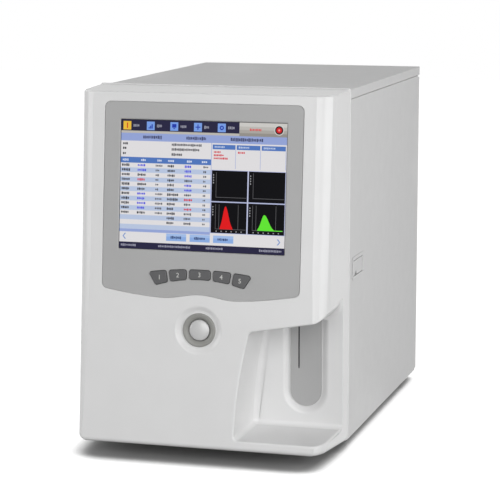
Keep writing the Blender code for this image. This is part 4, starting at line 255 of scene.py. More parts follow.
def shell_form(name, inset, rear, tag, steps=5):
    """The outer form, or the hollow, of the moulded front; the hollow does with fewer rings."""
    rings = []
    for angle in quarter(10 if steps > 2 else 4):
        lift = FOOT_CORNER * (1 - cos(angle))
        push = FOOT_NOSE - sqrt(max(FOOT_NOSE**2 - max(FOOT_NOSE - lift, 0) ** 2, 0))
        side = FOOT_CORNER - sqrt(max(FOOT_CORNER**2 - max(FOOT_CORNER - lift, 0) ** 2, 0))
        height = SHELL_FOOT + inset + lift
        rings.append(shell_ring(height, FOOT_RISE, inset + push, inset + side, rear, steps))
    rings.append(shell_ring((SHELL_TOP + SHELL_FOOT) / 2, 0.0, inset, inset, rear, steps))
    for angle in quarter(4 if steps > 2 else 1):
        push = TOP_EDGE * (1 - cos(angle))
        height = SHELL_TOP - inset - TOP_EDGE * (1 - sin(angle))
        rings.append(shell_ring(height, TOP_FALL, inset + push, inset + push, rear - 0.8 * push, steps))
    return loft(name, rings, tag)


def rim_form(tag):
    """A low rounded bead round the rear edge, where the housing meets the sheet covers."""
    half, top = SHELL_HALF + 0.5 * RIM_PROUD, SHELL_TOP + RIM_PROUD
    edge = rounded([
        (-half, SHELL_FOOT, FOOT_CORNER), (half, SHELL_FOOT, FOOT_CORNER),
        (half, top, RIM_ROUND), (-half, top, RIM_ROUND),
    ])
    rings = [
        in_world(offset(edge, -inset), across(-ahead))
        for ahead, inset in mm((0.0, 0.5), (0.5, 0.0), (1.5, 0.0), (2.2, 0.25), (2.7, 0.7), (3.0, 1.5))
    ]
    return loft("rear_bead", rings, tag)


ALCOVE_LEFT = 47.6 * MM
ALCOVE_BACK = -28.5 * MM
ALCOVE_BEND = 0.88
ALCOVE_FADE = 14 * MM
ALCOVE_ROUND = 8 * MM
ALCOVE_OUT = 20 * MM
WALL_FOOT = 5 * MM
SHELF_UP = 33.0 * MM
HOOD_LOW = 165.5 * MM
HOOD_FROM = 60.0 * MM
HOOD_SLOPE = tan(radians(10))
HOOD_TURN = 22.0 * MM
HOOD_TURN_AT = 142.5 * MM
HOOD_END = radians(85)
HOOD_CORNER = 3.6 * MM
HOOD_ROUND = 10 * MM
PLATE_X = 114.1 * MM
PLATE_LOW = 59.0 * MM
PLATE_HALF = 20.0 * MM
NICHE_DEEP = 5.0 * MM
NICHE_FLARE = 9.0 * MM
NICHE_TOP = HOOD_LOW + (PLATE_X - PLATE_HALF - HOOD_FROM) * HOOD_SLOPE - 0.3 * MM
NICHE_GAP = 1.2 * MM
LEDGE_FILLET = 2.6 * MM
LEDGE_SHORT = 3 * MM
LEDGE_FROM = 2 * MM
LEDGE_PITCH = 1.5 * MM
LEDGE_RUN_OUT = 9 * MM
LEDGE_WIDE = 4 * MM
LEDGE_HIGH = 3 * MM
RIM_FILLET = 2.4 * MM
POCKET_ROUND = 6.5 * MM
START_DOWN = 0.1762
DISH_EDGE = 29.5 * MM
DISH_FLOOR = 22.6 * MM
DISH_BORE = 18.5 * MM
DISH_DEEP = 3.6 * MM
DISH_BACK = 23.2 * MM
DISH_LIP = DISH_EDGE + 1.2 * MM
WELL_DEEP = 15 * MM


def alcove_line():
    """Front view of the alcove: shelf, open right side, rising hood, curved left wall."""
    far = SHELL_HALF + ALCOVE_OUT
    turn_up = HOOD_LOW + (HOOD_TURN_AT - HOOD_FROM) * HOOD_SLOPE
    lean = atan(HOOD_SLOPE)
    middle = Vector((HOOD_TURN_AT - HOOD_TURN * sin(lean), turn_up + HOOD_TURN * cos(lean)))
    line = [(ALCOVE_LEFT + x, SHELF_UP, 0.0) for x in (19 * MM, 30 * MM, 60 * MM)] + [(far, SHELF_UP, 0.0)]
    arc = []
    for share in shares(14):
        angle = lean + (HOOD_END - lean) * share
        arc.append((middle.x + HOOD_TURN * sin(angle), middle.y - HOOD_TURN * cos(angle), 0.0))
    line.append((far, arc[-1][1] + (far - arc[-1][0]) * HOOD_SLOPE, 0.0))
    line.extend(reversed(arc))
    line.append((HOOD_FROM + HOOD_CORNER, HOOD_LOW + HOOD_CORNER * HOOD_SLOPE, HOOD_ROUND))
    foot = SHELF_UP - WALL_FOOT
    for step in range(10, 0, -1):
        height = SHELF_UP + (HOOD_LOW - SHELF_UP) * 0.92 * step / 10
        line.append((ALCOVE_LEFT + ALCOVE_BEND * (height - foot) ** 2, height, 0.0))
    line.append((ALCOVE_LEFT, SHELF_UP, ALCOVE_ROUND))
    return rounded(line)


def slot_line(half, low, top, steps=28):
    """A slot with a half-round lower end and a square top, round the plate's middle."""
    line = []
    for step in range(steps + 1):
        angle = pi + pi * step / steps
        line.append(Vector((PLATE_X + half * cos(angle), low + half + half * sin(angle))))
    return line + [Vector((PLATE_X + half, top)), Vector((PLATE_X - half, top))]


def panel_line():
    """The grey panel: straight top and sides, and a lower edge that waves."""
    half, low, top = mm((126.4, -137.9, 101.2))[0]
    crest, end, rise, swing, low_round, top_round = mm((45, 114, 7.3, 5.4, 14, 7.5))[0]
    bend = 1.6
    right = []
    for step in range(19):
        right.append((crest * step / 18, low + swing * (0.5 + 0.5 * cos(pi * step / 18)), 0.0))
    for share in shares(12, 1):
        right.append((crest + (end - crest) * share, low + rise * share**bend, 0.0))
    slope = rise * bend / (end - crest)
    right += [(half, low + rise + (half - end) * slope, low_round), (half, top, top_round)]
    return rounded(mirrored(right, 1), 8)


def turned_form(name, profile, matrix, tag=None, steps=64):
    """A turned solid: (radius, height) points from the top of the axis round to its foot."""
    bm = bmesh.new()
    rings = []
    for radius, height in profile:
        if radius == 0:
            rings.append([bm.verts.new(matrix @ Vector((0, 0, height)))])
            continue
        ring = []
        for step in range(steps):
            angle = 2 * pi * step / steps
            ring.append(bm.verts.new(matrix @ Vector((radius * cos(angle), radius * sin(angle), height))))
        rings.append(ring)
    pairs = list(zip(rings, rings[1:]))
    if len(rings[0]) > 1:
        pairs.append((rings[-1], rings[0]))
    for high, low in pairs:
        for i in range(steps):
            j = i + 1
            corners = [high[i % len(high)], low[i % len(low)], low[j % len(low)], high[j % len(high)]]
            bm.faces.new(list(dict.fromkeys(corners)))
    bmesh.ops.recalc_face_normals(bm, faces=bm.faces)
    return new_piece(name, bm, tag)


def round_edges(piece, widths, segments=4):
    """Rounds sharp edges by what they part: {(tag, tag): width}; the small ones first."""
    bm = bmesh.new()
    bm.from_mesh(piece.data)
    names = [m.name for m in piece.data.materials]
    bmesh.ops.remove_doubles(bm, verts=bm.verts, dist=0.002 * MM)
    bmesh.ops.dissolve_limit(
        bm, angle_limit=radians(0.05), verts=bm.verts, edges=bm.edges, delimit={"MATERIAL"}
    )
    least = radians(22)
    for pair, width in sorted(widths.items(), key=lambda item: item[1]):
        chosen = []
        for edge in bm.edges:
            if len(edge.link_faces) != 2 or abs(edge.calc_face_angle_signed(0)) < least:
                continue
            if sorted(names[f.material_index] for f in edge.link_faces) == sorted(pair):
                chosen.append(edge)
        if chosen:
            bmesh.ops.bevel(
                bm, geom=chosen, offset=width, offset_type="OFFSET", segments=segments,
                profile=0.5, affect="EDGES", clamp_overlap=True, loop_slide=True, material=-1,
            )
    bm.to_mesh(piece.data)
    bm.free()
    return piece


def smooth(piece, degrees=32):
    """Smooth shading, with the wide faces leading at each rounded edge."""
    piece.data.shade_smooth()
    piece.data.set_sharp_from_angle(angle=radians(degrees))
    even = piece.modifiers.new("even normals", "WEIGHTED_NORMAL")
    even.keep_sharp = True
    even.weight = 100
    return applied(piece)


def dress(piece, material, slot, *nodes, body="cabinet"):
    """Gives a piece its finish and sets it on its body, in place of these CAD nodes."""
    if material:
        piece.data.materials.clear()
        piece.data.materials.append(material)
        for face in piece.data.polygons:
            face.material_index = 0
    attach(piece, body)
    if nodes:
        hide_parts(*nodes)
    return piece


def net(tree, kinds, links):
    """Fills a node tree. Each "name Kind" has its settings: properties by their own names, input
    values by socket. Each link reads "node.Output > node.Input"."""
    homes = ("ShaderNode",) if tree.type == "SHADER" else ("GeometryNode", "FunctionNode", "ShaderNode")
    nodes = {"surface": tree.nodes.get("Principled BSDF") or tree.nodes.get("Background")}
    for label, settings in kinds.items():
        name, kind = label.split()
        node = tree.nodes.new(next(home + kind for home in homes if hasattr(bpy.types, home + kind)))
        for key, value in settings.items():
            if isinstance(key, str) and key[0].islower():
                setattr(node, key, value)
            else:
                node.inputs[key].default_value = value
        nodes[name] = node
    if not nodes["surface"]:
        nodes["in"], nodes["out"] = tree.nodes.new("NodeGroupInput"), tree.nodes.new("NodeGroupOutput")
    for link in filter(None, (line.strip() for line in links.splitlines())):
        ends = [end.split(".") for end in link.split(" > ")]
        (start, output), (end, into) = [(name, int(at) if at.isdigit() else at) for name, at in ends]
        tree.links.new(nodes[start].outputs[output], nodes[end].inputs[into])
    return nodes


def group_of(name, kind, inputs, outputs):
    """A node group with its named inputs, each with its kind and its value, and its outputs."""
    tree = bpy.data.node_groups.new(name, kind)
    for label, socket_kind, value in inputs:
        made = tree.interface.new_socket(label, in_out="INPUT", socket_type="NodeSocket" + socket_kind)
        if value is not None:
            made.default_value = value
    for label, socket_kind in outputs:
        tree.interface.new_socket(label, in_out="OUTPUT", socket_type="NodeSocket" + socket_kind)
    return tree


# One group gives every moulded or painted skin its grain, its faint handling marks
# and its slight unevenness, so that the parts of one housing look made together.
skin_group = group_of(
    "housing_skin", "ShaderNodeTree", (("Grain", "Float", 2400.0), ("Waviness", "Float", 22.0)),
    (("Height", "Float"), ("Marks", "Float"), ("Tone", "Float")),
)
net(skin_group, {
    "place TexCoord": {},
    "grain TexNoise": {3: 3.0, 4: 0.6},
    "waves TexNoise": {3: 2.0, 4: 0.5},
    "wipes TexNoise": {2: 9.0, 3: 5.0, 4: 0.62},
    "wiped MapRange": {1: 0.52, 2: 0.72},
    "height Math": {"operation": "MULTIPLY_ADD", 1: 0.12},
}, """
    place.Object > grain.Vector
    place.Object > waves.Vector
    place.Object > wipes.Vector
    in.Grain > grain.Scale
    in.Waviness > waves.Scale
    wipes.Fac > wiped.Value
    grain.Fac > height.0
    waves.Fac > height.2
    height.0 > out.Height
    wiped.0 > out.Marks
    waves.Fac > out.Tone
""")


def new_finish(name, **values):
    """A material with its surface's fixed values; an underscore stands for a space."""
    made = bpy.data.materials.new(name)
    made.use_nodes = True
    for label, value in values.items():
        made.node_tree.nodes["Principled BSDF"].inputs[label.replace("_", " ")].default_value = value
    return made


def softened(tree, nodes, soft):
    """Rounds the look of sharp CAD edges by this radius."""
    if soft:
        edge = net(tree, {"edge Bevel": {"samples": 4, "Radius": soft}}, "")["edge"]
        tree.links.new(edge.outputs["Normal"], nodes["bump"].inputs["Normal"])


def skin(name, colour, roughness, grain, depth, waviness=22.0, soft=0.0, **values):
    """A plastic or painted finish: even colour, fine grain, faint marks where hands go."""
    made = new_finish(name, Specular_IOR_Level=0.36, **values)
    softened(made.node_tree, net(made.node_tree, {
        "group Group": {"node_tree": skin_group, "Grain": grain, "Waviness": waviness},
        "shade Mix": {"data_type": "RGBA", "A": (*colour, 1), "B": (*[c * 0.94 for c in colour], 1)},
        "gloss MapRange": {3: roughness, 4: roughness * 0.8},
        "bump Bump": {"Strength": 0.5, "Distance": depth * MM},
    }, """
        group.Tone > shade.Factor
        shade.Result > surface.Base Color
        group.Marks > gloss.Value
        gloss.0 > surface.Roughness
        group.Height > bump.Height
        bump.Normal > surface.Normal
    """), soft)
    return made


def surface_at(x, height):
    """How far forward the moulded surface lies at a place in the front view."""
    start = Vector((min(abs(x), ROLL_HALF - 2 * BAND_DRAFT), JOINT_Y - 0.3, height))
    hit = shell_tree.ray_cast(start, Vector((0, 1, 0)))
    return hit[0].y if hit[0] else JOINT_Y - depth_at(height)


def rim_share(point):
    """The full rim round the pocket, which thins out along the shelf, where the ledge has its own."""
    if point[1] > SHELF_UP + MM:
        return 1.0
    return 1.0 - 0.97 * min(max((point[0] - ALCOVE_LEFT - ALCOVE_FADE) / ALCOVE_FADE, 0.0), 1.0)


def pocket_rings(line, depth, radius):
    """Rings of a pocket: a rim that rounds out of the surface, then walls that round into the back."""
    rim = [(Vector(p), Vector(q) - Vector(p), rim_share(p)) for p, q in zip(line, offset(line, RIM_FILLET))]
    rings = [in_world([p + out * share for p, out, share in rim], across(0), 0.3)]
    for angle in quarter(7):
        ring = []
        for p, out, share in rim:
            q = p + out * share * (1 - sin(angle))
            drop = RIM_FILLET * share * (1 - cos(angle)) - (0.0 if angle else 0.05 * MM)
            ring.append(Vector((q.x, surface_at(q.x, q.y) + drop, q.y)))
        rings.append(ring)
    for angle in quarter(7):
        inset = radius * (1 - cos(angle))
        rings.append(in_world(offset(line, -inset), across(0), depth + radius * (1 - sin(angle))))
    return rings


def eased(points, spacing, reach):
    """An open line, spaced evenly and averaged over its neighbours, so that its corners turn softly."""
    even = [points[0]]
    for here, after in zip(points, points[1:]):
        while (after - even[-1]).length > spacing and (after - here).dot(after - even[-1]) > 0:
            even.append(even[-1] + (after - even[-1]).normalized() * spacing)
    even.append(points[-1])
    soft = []
    for i in range(len(even)):
        span = min(reach, i, len(even) - 1 - i)
        near = even[i - span:i + span + 1]
        soft.append(sum(near, Vector((0, 0))) / len(near))
    return soft


def ledge_cutter(tag):
    """Rounds the shelf's free edge: along the front, round the corner and back along the side."""
    outline = shell_ring(SHELF_UP - LEDGE_FILLET, 0.0, 0.0, 0.0, 0.0, 8)
    end = JOINT_Y + ALCOVE_BACK - LEDGE_SHORT
    front = min(p.y for p in outline)
    side = [Vector((p.x, p.y)) for p in outline if p.x > FACE_HALF * 0.9 and p.y < end - MM]
    start = Vector((side[0].x + 0.5 * MM, end))
    path = eased([start] + side + [Vector((ALCOVE_LEFT + LEDGE_FROM, front))], LEDGE_PITCH, 4)
    sections = []
    for i, spot in enumerate(path):
        along = (path[min(i + 1, len(path) - 1)] - path[max(i - 1, 0)]).normalized()
        inward = Vector((along.y, -along.x))
        size = LEDGE_FILLET
        if spot.y < front + MM:
            size *= min(max((spot.x - ALCOVE_LEFT - LEDGE_FROM) / ALCOVE_FADE, 0.04), 1.0)
        else:
            size *= min(max((end - spot.y) / LEDGE_RUN_OUT, 0.15), 1.0)
        section = [(-LEDGE_WIDE, -size), (-LEDGE_WIDE, LEDGE_HIGH), (size, LEDGE_HIGH)]
        for step in range(9):
            angle = pi / 2 * (1 - step / 8)
            section.append((size * (1 - cos(angle)), -size * (1 - sin(angle))))
        sections.append([
            Vector((spot.x + inward.x * a, spot.y + inward.y * a, SHELF_UP + b)) for a, b in section
        ])
    return loft("ledge_form", sections, tag)


def eased_share(share):
    """A share that starts and ends gently."""
    return share * share * (3 - 2 * share)


shell = shell_form("fascia_shell", 0.0, 0.0, "outer")
shell_tree = BVHTree.FromPolygons(
    [v.co for v in shell.data.vertices], [p.vertices for p in shell.data.polygons]
)
line = alcove_line()
panel = panel_line()
pocket = slab("pocket", offset(line, SHELL_WALL), across(0), 0.3, -(ALCOVE_BACK + SHELL_WALL), "hidden")
carve(pocket, (KEEP, shell_form("core", SHELL_WALL / 2, 0.0, "hidden", 2)))
half, low = PLATE_HALF + NICHE_GAP, PLATE_LOW - NICHE_GAP
wide, deep = half + NICHE_FLARE, low - NICHE_FLARE
niche_back = slab(
    "niche_back", slot_line(wide + SHELL_WALL, deep - SHELL_WALL, NICHE_TOP), across(ALCOVE_BACK),
    -1 * MM, -NICHE_DEEP - SHELL_WALL, "hidden",
)
niche_rings = [in_world(slot_line(wide, deep, NICHE_TOP), across(ALCOVE_BACK), 2 * MM)]
for share in shares(10):
    more = NICHE_FLARE * (1 - share)
    fall = NICHE_DEEP * eased_share(share) * (0.4 + 0.6 * share)
    niche_rings.append(in_world(slot_line(half + more, low - more, NICHE_TOP), across(ALCOVE_BACK), -fall))
dish_at = on_face(0, 0, -START_DOWN)
dish_back = turned_form("dish_back", [
    (0, -SHELL_WALL / 2), (DISH_EDGE + SHELL_WALL, -SHELL_WALL / 2),
    (DISH_BACK + SHELL_WALL, -SHELL_WALL - DISH_DEEP), (0, -SHELL_WALL - DISH_DEEP),
], dish_at, "hidden", 56)
dish_profile = [(0, FACE_CUT_OUT), (DISH_LIP, FACE_CUT_OUT), (DISH_LIP, 0)]
for share in shares(12, 1):
    dish_profile.append((DISH_LIP - (DISH_LIP - DISH_FLOOR) * share, -DISH_DEEP * eased_share(share)))
dish_profile += [(DISH_BORE, -DISH_DEEP), (DISH_BORE, -WELL_DEEP), (0, -WELL_DEEP)]
panel_rings = [
    in_world(offset(panel, more), FACE, height)
    for more, height in mm((0.85, 5), (0.85, 0.0), (0.5, -0.15), (0.35, -0.5), (0.35, -2.3))
]
openings = [
    (CUT, slab(name, box_line(*mm(corners)[0], MM, 2), FACE, FACE_CUT_OUT, -FACE_CUT_DEEP, "hidden"))
    for name, corners in (
        ("screen_form", (-108.4, -82.0, 108.4, 82.0)), ("keys_form", (-67, -123.5, 67, -101.2)),
    )
]
carve(
    shell,
    (ADD, rim_form("outer")),
    (CUT, shell_form("hollow", SHELL_WALL, FACE_CUT_OUT, "hollow", 2)),
    (ADD, pocket),
    (ADD, niche_back),
    (CUT, loft("alcove_form", pocket_rings(line, -ALCOVE_BACK, POCKET_ROUND), "alcove")),
    (CUT, ledge_cutter("alcove")),
    (CUT, loft("niche_form", niche_rings, "niche")),
    (ADD, dish_back),
    (CUT, turned_form("dish_form", dish_profile, dish_at, "dish", 72)),
    (CUT, loft("panel_form", panel_rings, "recess")),
    *openings,
)
smooth(shell)
shell_white = skin("shell_white", (0.72, 0.72, 0.72), 0.25, grain=1900, depth=0.015)
dress(shell, shell_white, "shell_white", "front_fascia")

# Grey screen panel.
# A flat printed polycarbonate plate with a waved lower edge, let into the fascia,
# with a chamfered window for the screen and five holes for the keys.

BEZEL_SINK = 0.5 * MM
BEZEL_THICK = 1.5 * MM
BEZEL_GAP = 0.25 * MM
KEY_ROUND = 2.8 * MM
KEY_GAP = 0.45 * MM
SCREEN_HALF = 105.6 * MM
SCREEN_TALL = 79.2 * MM


def rectangle(half, tall, radius, steps=3):
    """A rectangle round the middle, by its half width and half height."""
    return box_line(-half, -tall, half, tall, radius, steps)


def key_line(index, more=0.0):
    """Outline of a key: five lie side by side between two arcs below the screen."""
    top = ((-66.2, -43.4), (-40.0, -17.0), (-13.5, 13.5), (17.0, 40.0), (43.4, 66.2))
    low = ((-56.2, -41.0), (-37.6, -17.0), (-13.5, 13.5), (17.0, 37.6), (41.0, 56.2))
    line = []
    edges = mm((*low[index], -113.9), (*reversed(top[index]), -102.0))
    for (a, b, height), bend in zip(edges, (2.8, 1.16)):
        for x, radius in ((a, KEY_ROUND), (a * 0.5 + b * 0.5, 0.0), (b, KEY_ROUND)):
            line.append((x, height - bend * x * x, radius))
    return offset(rounded(line, 5), more)


bezel = slab("screen_panel", offset(panel, -BEZEL_GAP), on_face(BEZEL_SINK), 0.0, -BEZEL_THICK, "plate")
window = [
    in_world(rectangle(SCREEN_HALF + reveal, SCREEN_TALL + reveal, corner), FACE, height)
    for reveal, height, corner in mm((2.2, 0.3, 2.6), (0.6, -1.7, 1.0), (0.6, -4, 1.0))
]
carve(bezel, (CUT, loft("window_cut", window, "window")), *[
    (CUT, slab(f"key_hole_{i + 1}", key_line(i, KEY_GAP), FACE, 2 * MM, -4 * MM, "key_hole"))
    for i in range(5)
])
round_edges(bezel, {
    ("plate", "plate"): 0.45 * MM, ("plate", "key_hole"): 0.3 * MM, ("plate", "window"): 0.2 * MM,
}, segments=3)
smooth(bezel)
panel_grey = skin("panel_grey", (0.40, 0.40, 0.40), 0.5, grain=3200, depth=0.03)
dress(bezel, panel_grey, "panel_grey", "display_bezel")

# Touch screen.
# A sheet of glass over a colour panel that is lit from behind: a header with icons, a table
# of results and four plots, drawn as plain blocks and strokes with no readable words.

GLASS_HALF, GLASS_TALL = 108.1 * MM, 81.7 * MM
GLASS_FRONT, GLASS_BACK = -2.3 * MM, -3.5 * MM
PICTURE_FRONT, PICTURE_THICK = -2.28 * MM, 0.011 * MM
LAYER_STEP = 0.012 * MM


def sheet_of(shapes, name, front, thick):
    """Thin coloured shapes of (corners, colour, layer), each layer a little ahead of the last."""
    bm = bmesh.new()
    tint = bm.loops.layers.float_color.new("tint")
    for corners, colour, layer in shapes:
        low = front + LAYER_STEP * layer
        rings = []
        for height in (low - thick, low):
            spots = [((2 * u - 1) * SCREEN_HALF, (1 - 2 * v) * SCREEN_TALL) for u, v in corners]
            rings.append([bm.verts.new(p) for p in in_world(spots, FACE, height)])
        faces = [bm.faces.new(rings[1]), bm.faces.new(list(reversed(rings[0])))]
        for i in range(len(corners)):
            faces.append(bm.faces.new((rings[0][i - 1], rings[0][i], rings[1][i], rings[1][i - 1])))
        for face in faces:
            for corner in face.loops:
                corner[tint] = (*colour, 1)
    bmesh.ops.recalc_face_normals(bm, faces=bm.faces)
    return new_piece(name, bm)


def rgb(red, green, blue):
    """A screen colour of 0 to 255 per channel as the light it gives."""
    channels = (red, green, blue)
    return tuple(c / 255 / 12.92 if c < 10 else ((c / 255 + 0.055) / 1.055) ** 2.4 for c in channels)


NAVY = rgb(40, 38, 66)
PALE = rgb(226, 224, 226)
STRIPE = rgb(186, 200, 226)
LILAC = rgb(150, 166, 216)
BLUE = rgb(82, 120, 190)
INK = rgb(40, 40, 48)
UNIT_GREY = rgb(90, 90, 96)
MARK_BLUE = rgb(70, 70, 225)
MARK_RED = rgb(214, 40, 60)
AXIS = rgb(105, 105, 108)
GREEN = rgb(98, 232, 50)
ROW_TALL = 0.0367
draw = random.Random(11)
picture = []


def paint(left, top, right, bottom, colour, layer):
    """A rectangle on the screen; places run from 0 to 1, to the right and down."""
    picture.append(([(left, bottom), (right, bottom), (right, top), (left, top)], colour, layer))


def disc(u, v, radius, colour, layer, tall, turns):
    """A round spot on the screen."""
    angles = [2 * pi * i / turns for i in range(turns)]
    picture.append(([(u + radius * cos(a), v - tall * sin(a)) for a in angles], colour, layer))


def strokes(u, v, length, colour, tall, layer=3):
    """A short run of small strokes, as far-off print looks."""
    here = u
    while here < u + length:
        wide = draw.uniform(0.0045, 0.0095)
        rise = draw.uniform(0.8, 1.25) * tall
        paint(here, v - rise, here + wide, v + rise * draw.uniform(0.7, 1.0), colour, layer)
        here += wide + 0.0026


for place in (
    (0, 0, 1, 1, PALE, 0),
    (0, 0.0, 0.716, 0.085, NAVY, 1),
    (0.716, 0.0, 1.0, 0.105, rgb(150, 146, 140), 1),
    (0.716, 0.0, 1.0, 0.03, rgb(206, 204, 200), 2),
    (0.716, 0.03, 1.0, 0.055, rgb(190, 187, 182), 2),
    (0.716, 0.055, 1.0, 0.08, rgb(172, 168, 162), 2),
    (0.0, 0.085, 0.716, 0.103, rgb(190, 186, 178), 1),
    (0.0, 0.103, 1.0, 0.163, LILAC, 1),
    (0.0, 0.289, 0.55, 0.334, BLUE, 1),
    (0.0, 0.848, 0.55, 0.87, LILAC, 1),
    (0.0, 0.95, 1.0, 1.0, NAVY, 1),
):
    paint(*place)
icons = (
    ((0.021, 0.024, 0.028, 0.066),),
    ((0.011, 0.056, 0.018, 0.066), (0.020, 0.044, 0.027, 0.066), (0.029, 0.032, 0.036, 0.066)),
    ((0.011, 0.026, 0.037, 0.054), (0.018, 0.058, 0.03, 0.064)),
    ((0.021, 0.024, 0.027, 0.066), (0.009, 0.041, 0.039, 0.049)),
    (),
)
for i, icon in enumerate(icons):
    left = 0.012 + 0.1435 * i
    face = rgb(122, 160, 232) if i else rgb(236, 190, 60)
    sign = rgb(36, 60, 170) if i else rgb(208, 70, 40)
    paint(left, 0.012, left + 0.048, 0.078, face, 2)
    for near, top, far, bottom in icon:
        paint(left + near, top, left + far, bottom, sign, 3)
    if not icon:
        disc(left + 0.024, 0.045, 0.013, sign, 3, 0.0175, 16)
        paint(left + 0.019, 0.038, left + 0.029, 0.052, face, 4)
    strokes(left + 0.062, 0.045, 0.03, rgb(150, 150, 165), 0.010)
for layer, radius, colour in (
    (3, 0.029, rgb(214, 212, 210)), (4, 0.0245, rgb(48, 42, 42)),
    (5, 0.0165, rgb(214, 34, 38)), (6, 0.006, rgb(246, 150, 146)),
):
    disc(0.952, 0.052, radius, colour, layer, radius * 1.333, 32)
strokes(0.778, 0.054, 0.07, rgb(220, 84, 84), 0.009)
for u, length in ((0.135, 0.11), (0.398, 0.115), (0.665, 0.185)):
    strokes(u, 0.133, length, rgb(66, 70, 104), 0.012)
for v, length in ((0.186, 0.175), (0.222, 0.165), (0.262, 0.06)):
    strokes(0.012, v, 0.02, INK, 0.008)
    strokes(0.31, v, length, rgb(78, 78, 84), 0.009)
for u, length in ((0.012, 0.03), (0.125, 0.03), (0.225, 0.025), (0.29, 0.03), (0.405, 0.03), (0.495, 0.03)):
    strokes(u, 0.312, length, rgb(214, 222, 240), 0.008)
for row in range(14):
    top = 0.334 + ROW_TALL * row
    if row % 2:
        paint(0.0, top, 0.55, top + ROW_TALL, STRIPE, 1)
    middle = top + 0.018
    if row < 11:
        tone = MARK_RED if row == 3 else MARK_BLUE if row in (0, 1, 6, 7, 8, 9) else INK
        strokes(0.008, middle, 0.045, INK, 0.009)
        strokes(0.105, middle, 0.045, tone, 0.008)
        strokes(0.215, middle, 0.02 if 0 < row < 6 else 0.04, UNIT_GREY, 0.007)
    if row < 13:
        tone = MARK_RED if row in (7, 9) else MARK_BLUE if row in (0, 1, 2, 4, 5) else rgb(80, 80, 88)
        strokes(0.288, middle, 0.065 if row in (6, 7) else 0.04, INK, 0.009)
        strokes(0.392, middle, 0.04, tone, 0.008)
        strokes(0.505, middle, 0.015 if row else 0.03, UNIT_GREY, 0.007)
for left, right, marks in ((0.558, 0.695, 3), (0.702, 0.843, 1), (0.851, 0.994, 0)):
    paint(left, 0.174, right, 0.21, BLUE, 1)
    strokes(left + 0.012, 0.192, 0.06, rgb(190, 204, 232), 0.007)
    paint(right + 0.0005, 0.21, right + 0.003, 0.356, LILAC, 1)
    for i in range(marks):
        strokes(left + 0.008, 0.232 + 0.024 * i, 0.04 + 0.018 * i, MARK_RED, 0.007)
paint(0.55, 0.163, 0.553, 0.87, LILAC, 2)
for top, bottom in ((0.372, 0.608), (0.617, 0.852)):
    for left, right in ((0.557, 0.771), (0.779, 0.996)):
        paint(left - 0.003, top - 0.004, right + 0.003, bottom + 0.004, rgb(176, 184, 222), 2)
        paint(left, top, right, bottom, rgb(4, 4, 5), 3)
        paint(left + 0.026, top + 0.014, left + 0.028, bottom - 0.03, AXIS, 4)
        paint(left + 0.026, bottom - 0.032, right - 0.004, bottom - 0.029, AXIS, 4)
        for i in range(4):
            down = top + 0.02 * i
            paint(left + 0.008, down + 0.03, left + 0.013, down + 0.04, rgb(170, 170, 174), 4)
        if top < 0.5:
            continue
        for i in range(6):
            along = left + 0.03 * i
            paint(along + 0.03, bottom - 0.018, along + 0.037, bottom - 0.009, rgb(150, 150, 154), 4)
        for u in (left + 0.047, right - 0.052):
            paint(u, top + 0.014, u + 0.002, bottom - 0.03, AXIS, 4)
for middle, high, left, right, colour in (
    (0.643, 0.645, 0.034, 0.046, rgb(226, 22, 24)), (0.876, 0.70, 0.042, 0.062, GREEN),
):
    low = 0.822
    hill = [(middle - left, low), (middle + right, low)]
    for step in range(1, 16):
        u = middle + right - (left + right) * step / 16
        spread = (right if u > middle else left) / 2.4
        hill.append((u, low - (low - high) * exp(-0.5 * ((u - middle) / spread) ** 2)))
    picture.append((hill, colour, 5))
paint(0.93, 0.816, 0.985, 0.822, GREEN, 5)
for left in (0.288, 0.431, 0.573):
    paint(left, 0.873, left + 0.122, 0.93, rgb(140, 174, 228), 2)
    paint(left, 0.873, left + 0.122, 0.896, rgb(162, 190, 234), 3)
    strokes(left + 0.027, 0.903, 0.06, rgb(58, 74, 118), 0.010, 4)
for middle, way in ((0.03, -1), (0.965, 1)):
    for up in (-1, 1):
        tip, end = middle + 0.010 * way, middle - 0.006 * way
        low = 0.905 + 0.023 * up
        arrow = [(tip, 0.905), (tip - 0.007 * way, 0.905), (end - 0.005 * way, low), (end + 0.003 * way, low)]
        picture.append((arrow if way * up > 0 else arrow[::-1], rgb(120, 150, 206), 3))
for u, length in ((0.01, 0.09), (0.24, 0.19), (0.53, 0.10), (0.85, 0.13)):
    strokes(u, 0.975, length, rgb(150, 150, 168), 0.008)

glass_dark = skin("glass_dark", (0.012, 0.012, 0.014), 0.12, grain=900, depth=0.002)
glass_edge = rectangle(GLASS_HALF, GLASS_TALL, MM)
glass = slab("touch_screen", glass_edge, FACE, GLASS_FRONT, GLASS_BACK, glass_dark)
screen_picture = sheet_of(picture, "screen_picture", PICTURE_FRONT, PICTURE_THICK)
lit = new_finish("lit_picture", Base_Color=(0.003, 0.003, 0.004, 1), Roughness=0.35, Specular_IOR_Level=0.03)
net(lit.node_tree, {
    "tints Attribute": {"attribute_name": "tint"},
    "weave TexCoord": {},
    "dots TexNoise": {2: 1400.0, 3: 1.0},
    "dimmed MapRange": {3: 0.90, 4: 1.0},
}, """
    weave.Object > dots.Vector
    dots.Fac > dimmed.Value
    dimmed.0 > surface.Emission Strength
    tints.Color > surface.Emission Color
""")
screen_picture.data.materials.append(lit)


def joined(name, *pieces):
    """One piece from several, each of which keeps its own finish."""
    bm = bmesh.new()
    finishes = []
    for piece in pieces:
        slots = []
        for finish in piece.data.materials:
            if finish not in finishes:
                finishes.append(finish)
            slots.append(finishes.index(finish))
        before = len(bm.faces)
        bm.from_mesh(piece.data)
        bm.faces.ensure_lookup_table()
        for face in bm.faces[before:]:
            face.material_index = slots[face.material_index]
    result = new_piece(name, bm)
    for finish in finishes:
        result.data.materials.append(finish)
    for piece in pieces:
        bpy.data.objects.remove(piece)
    return result


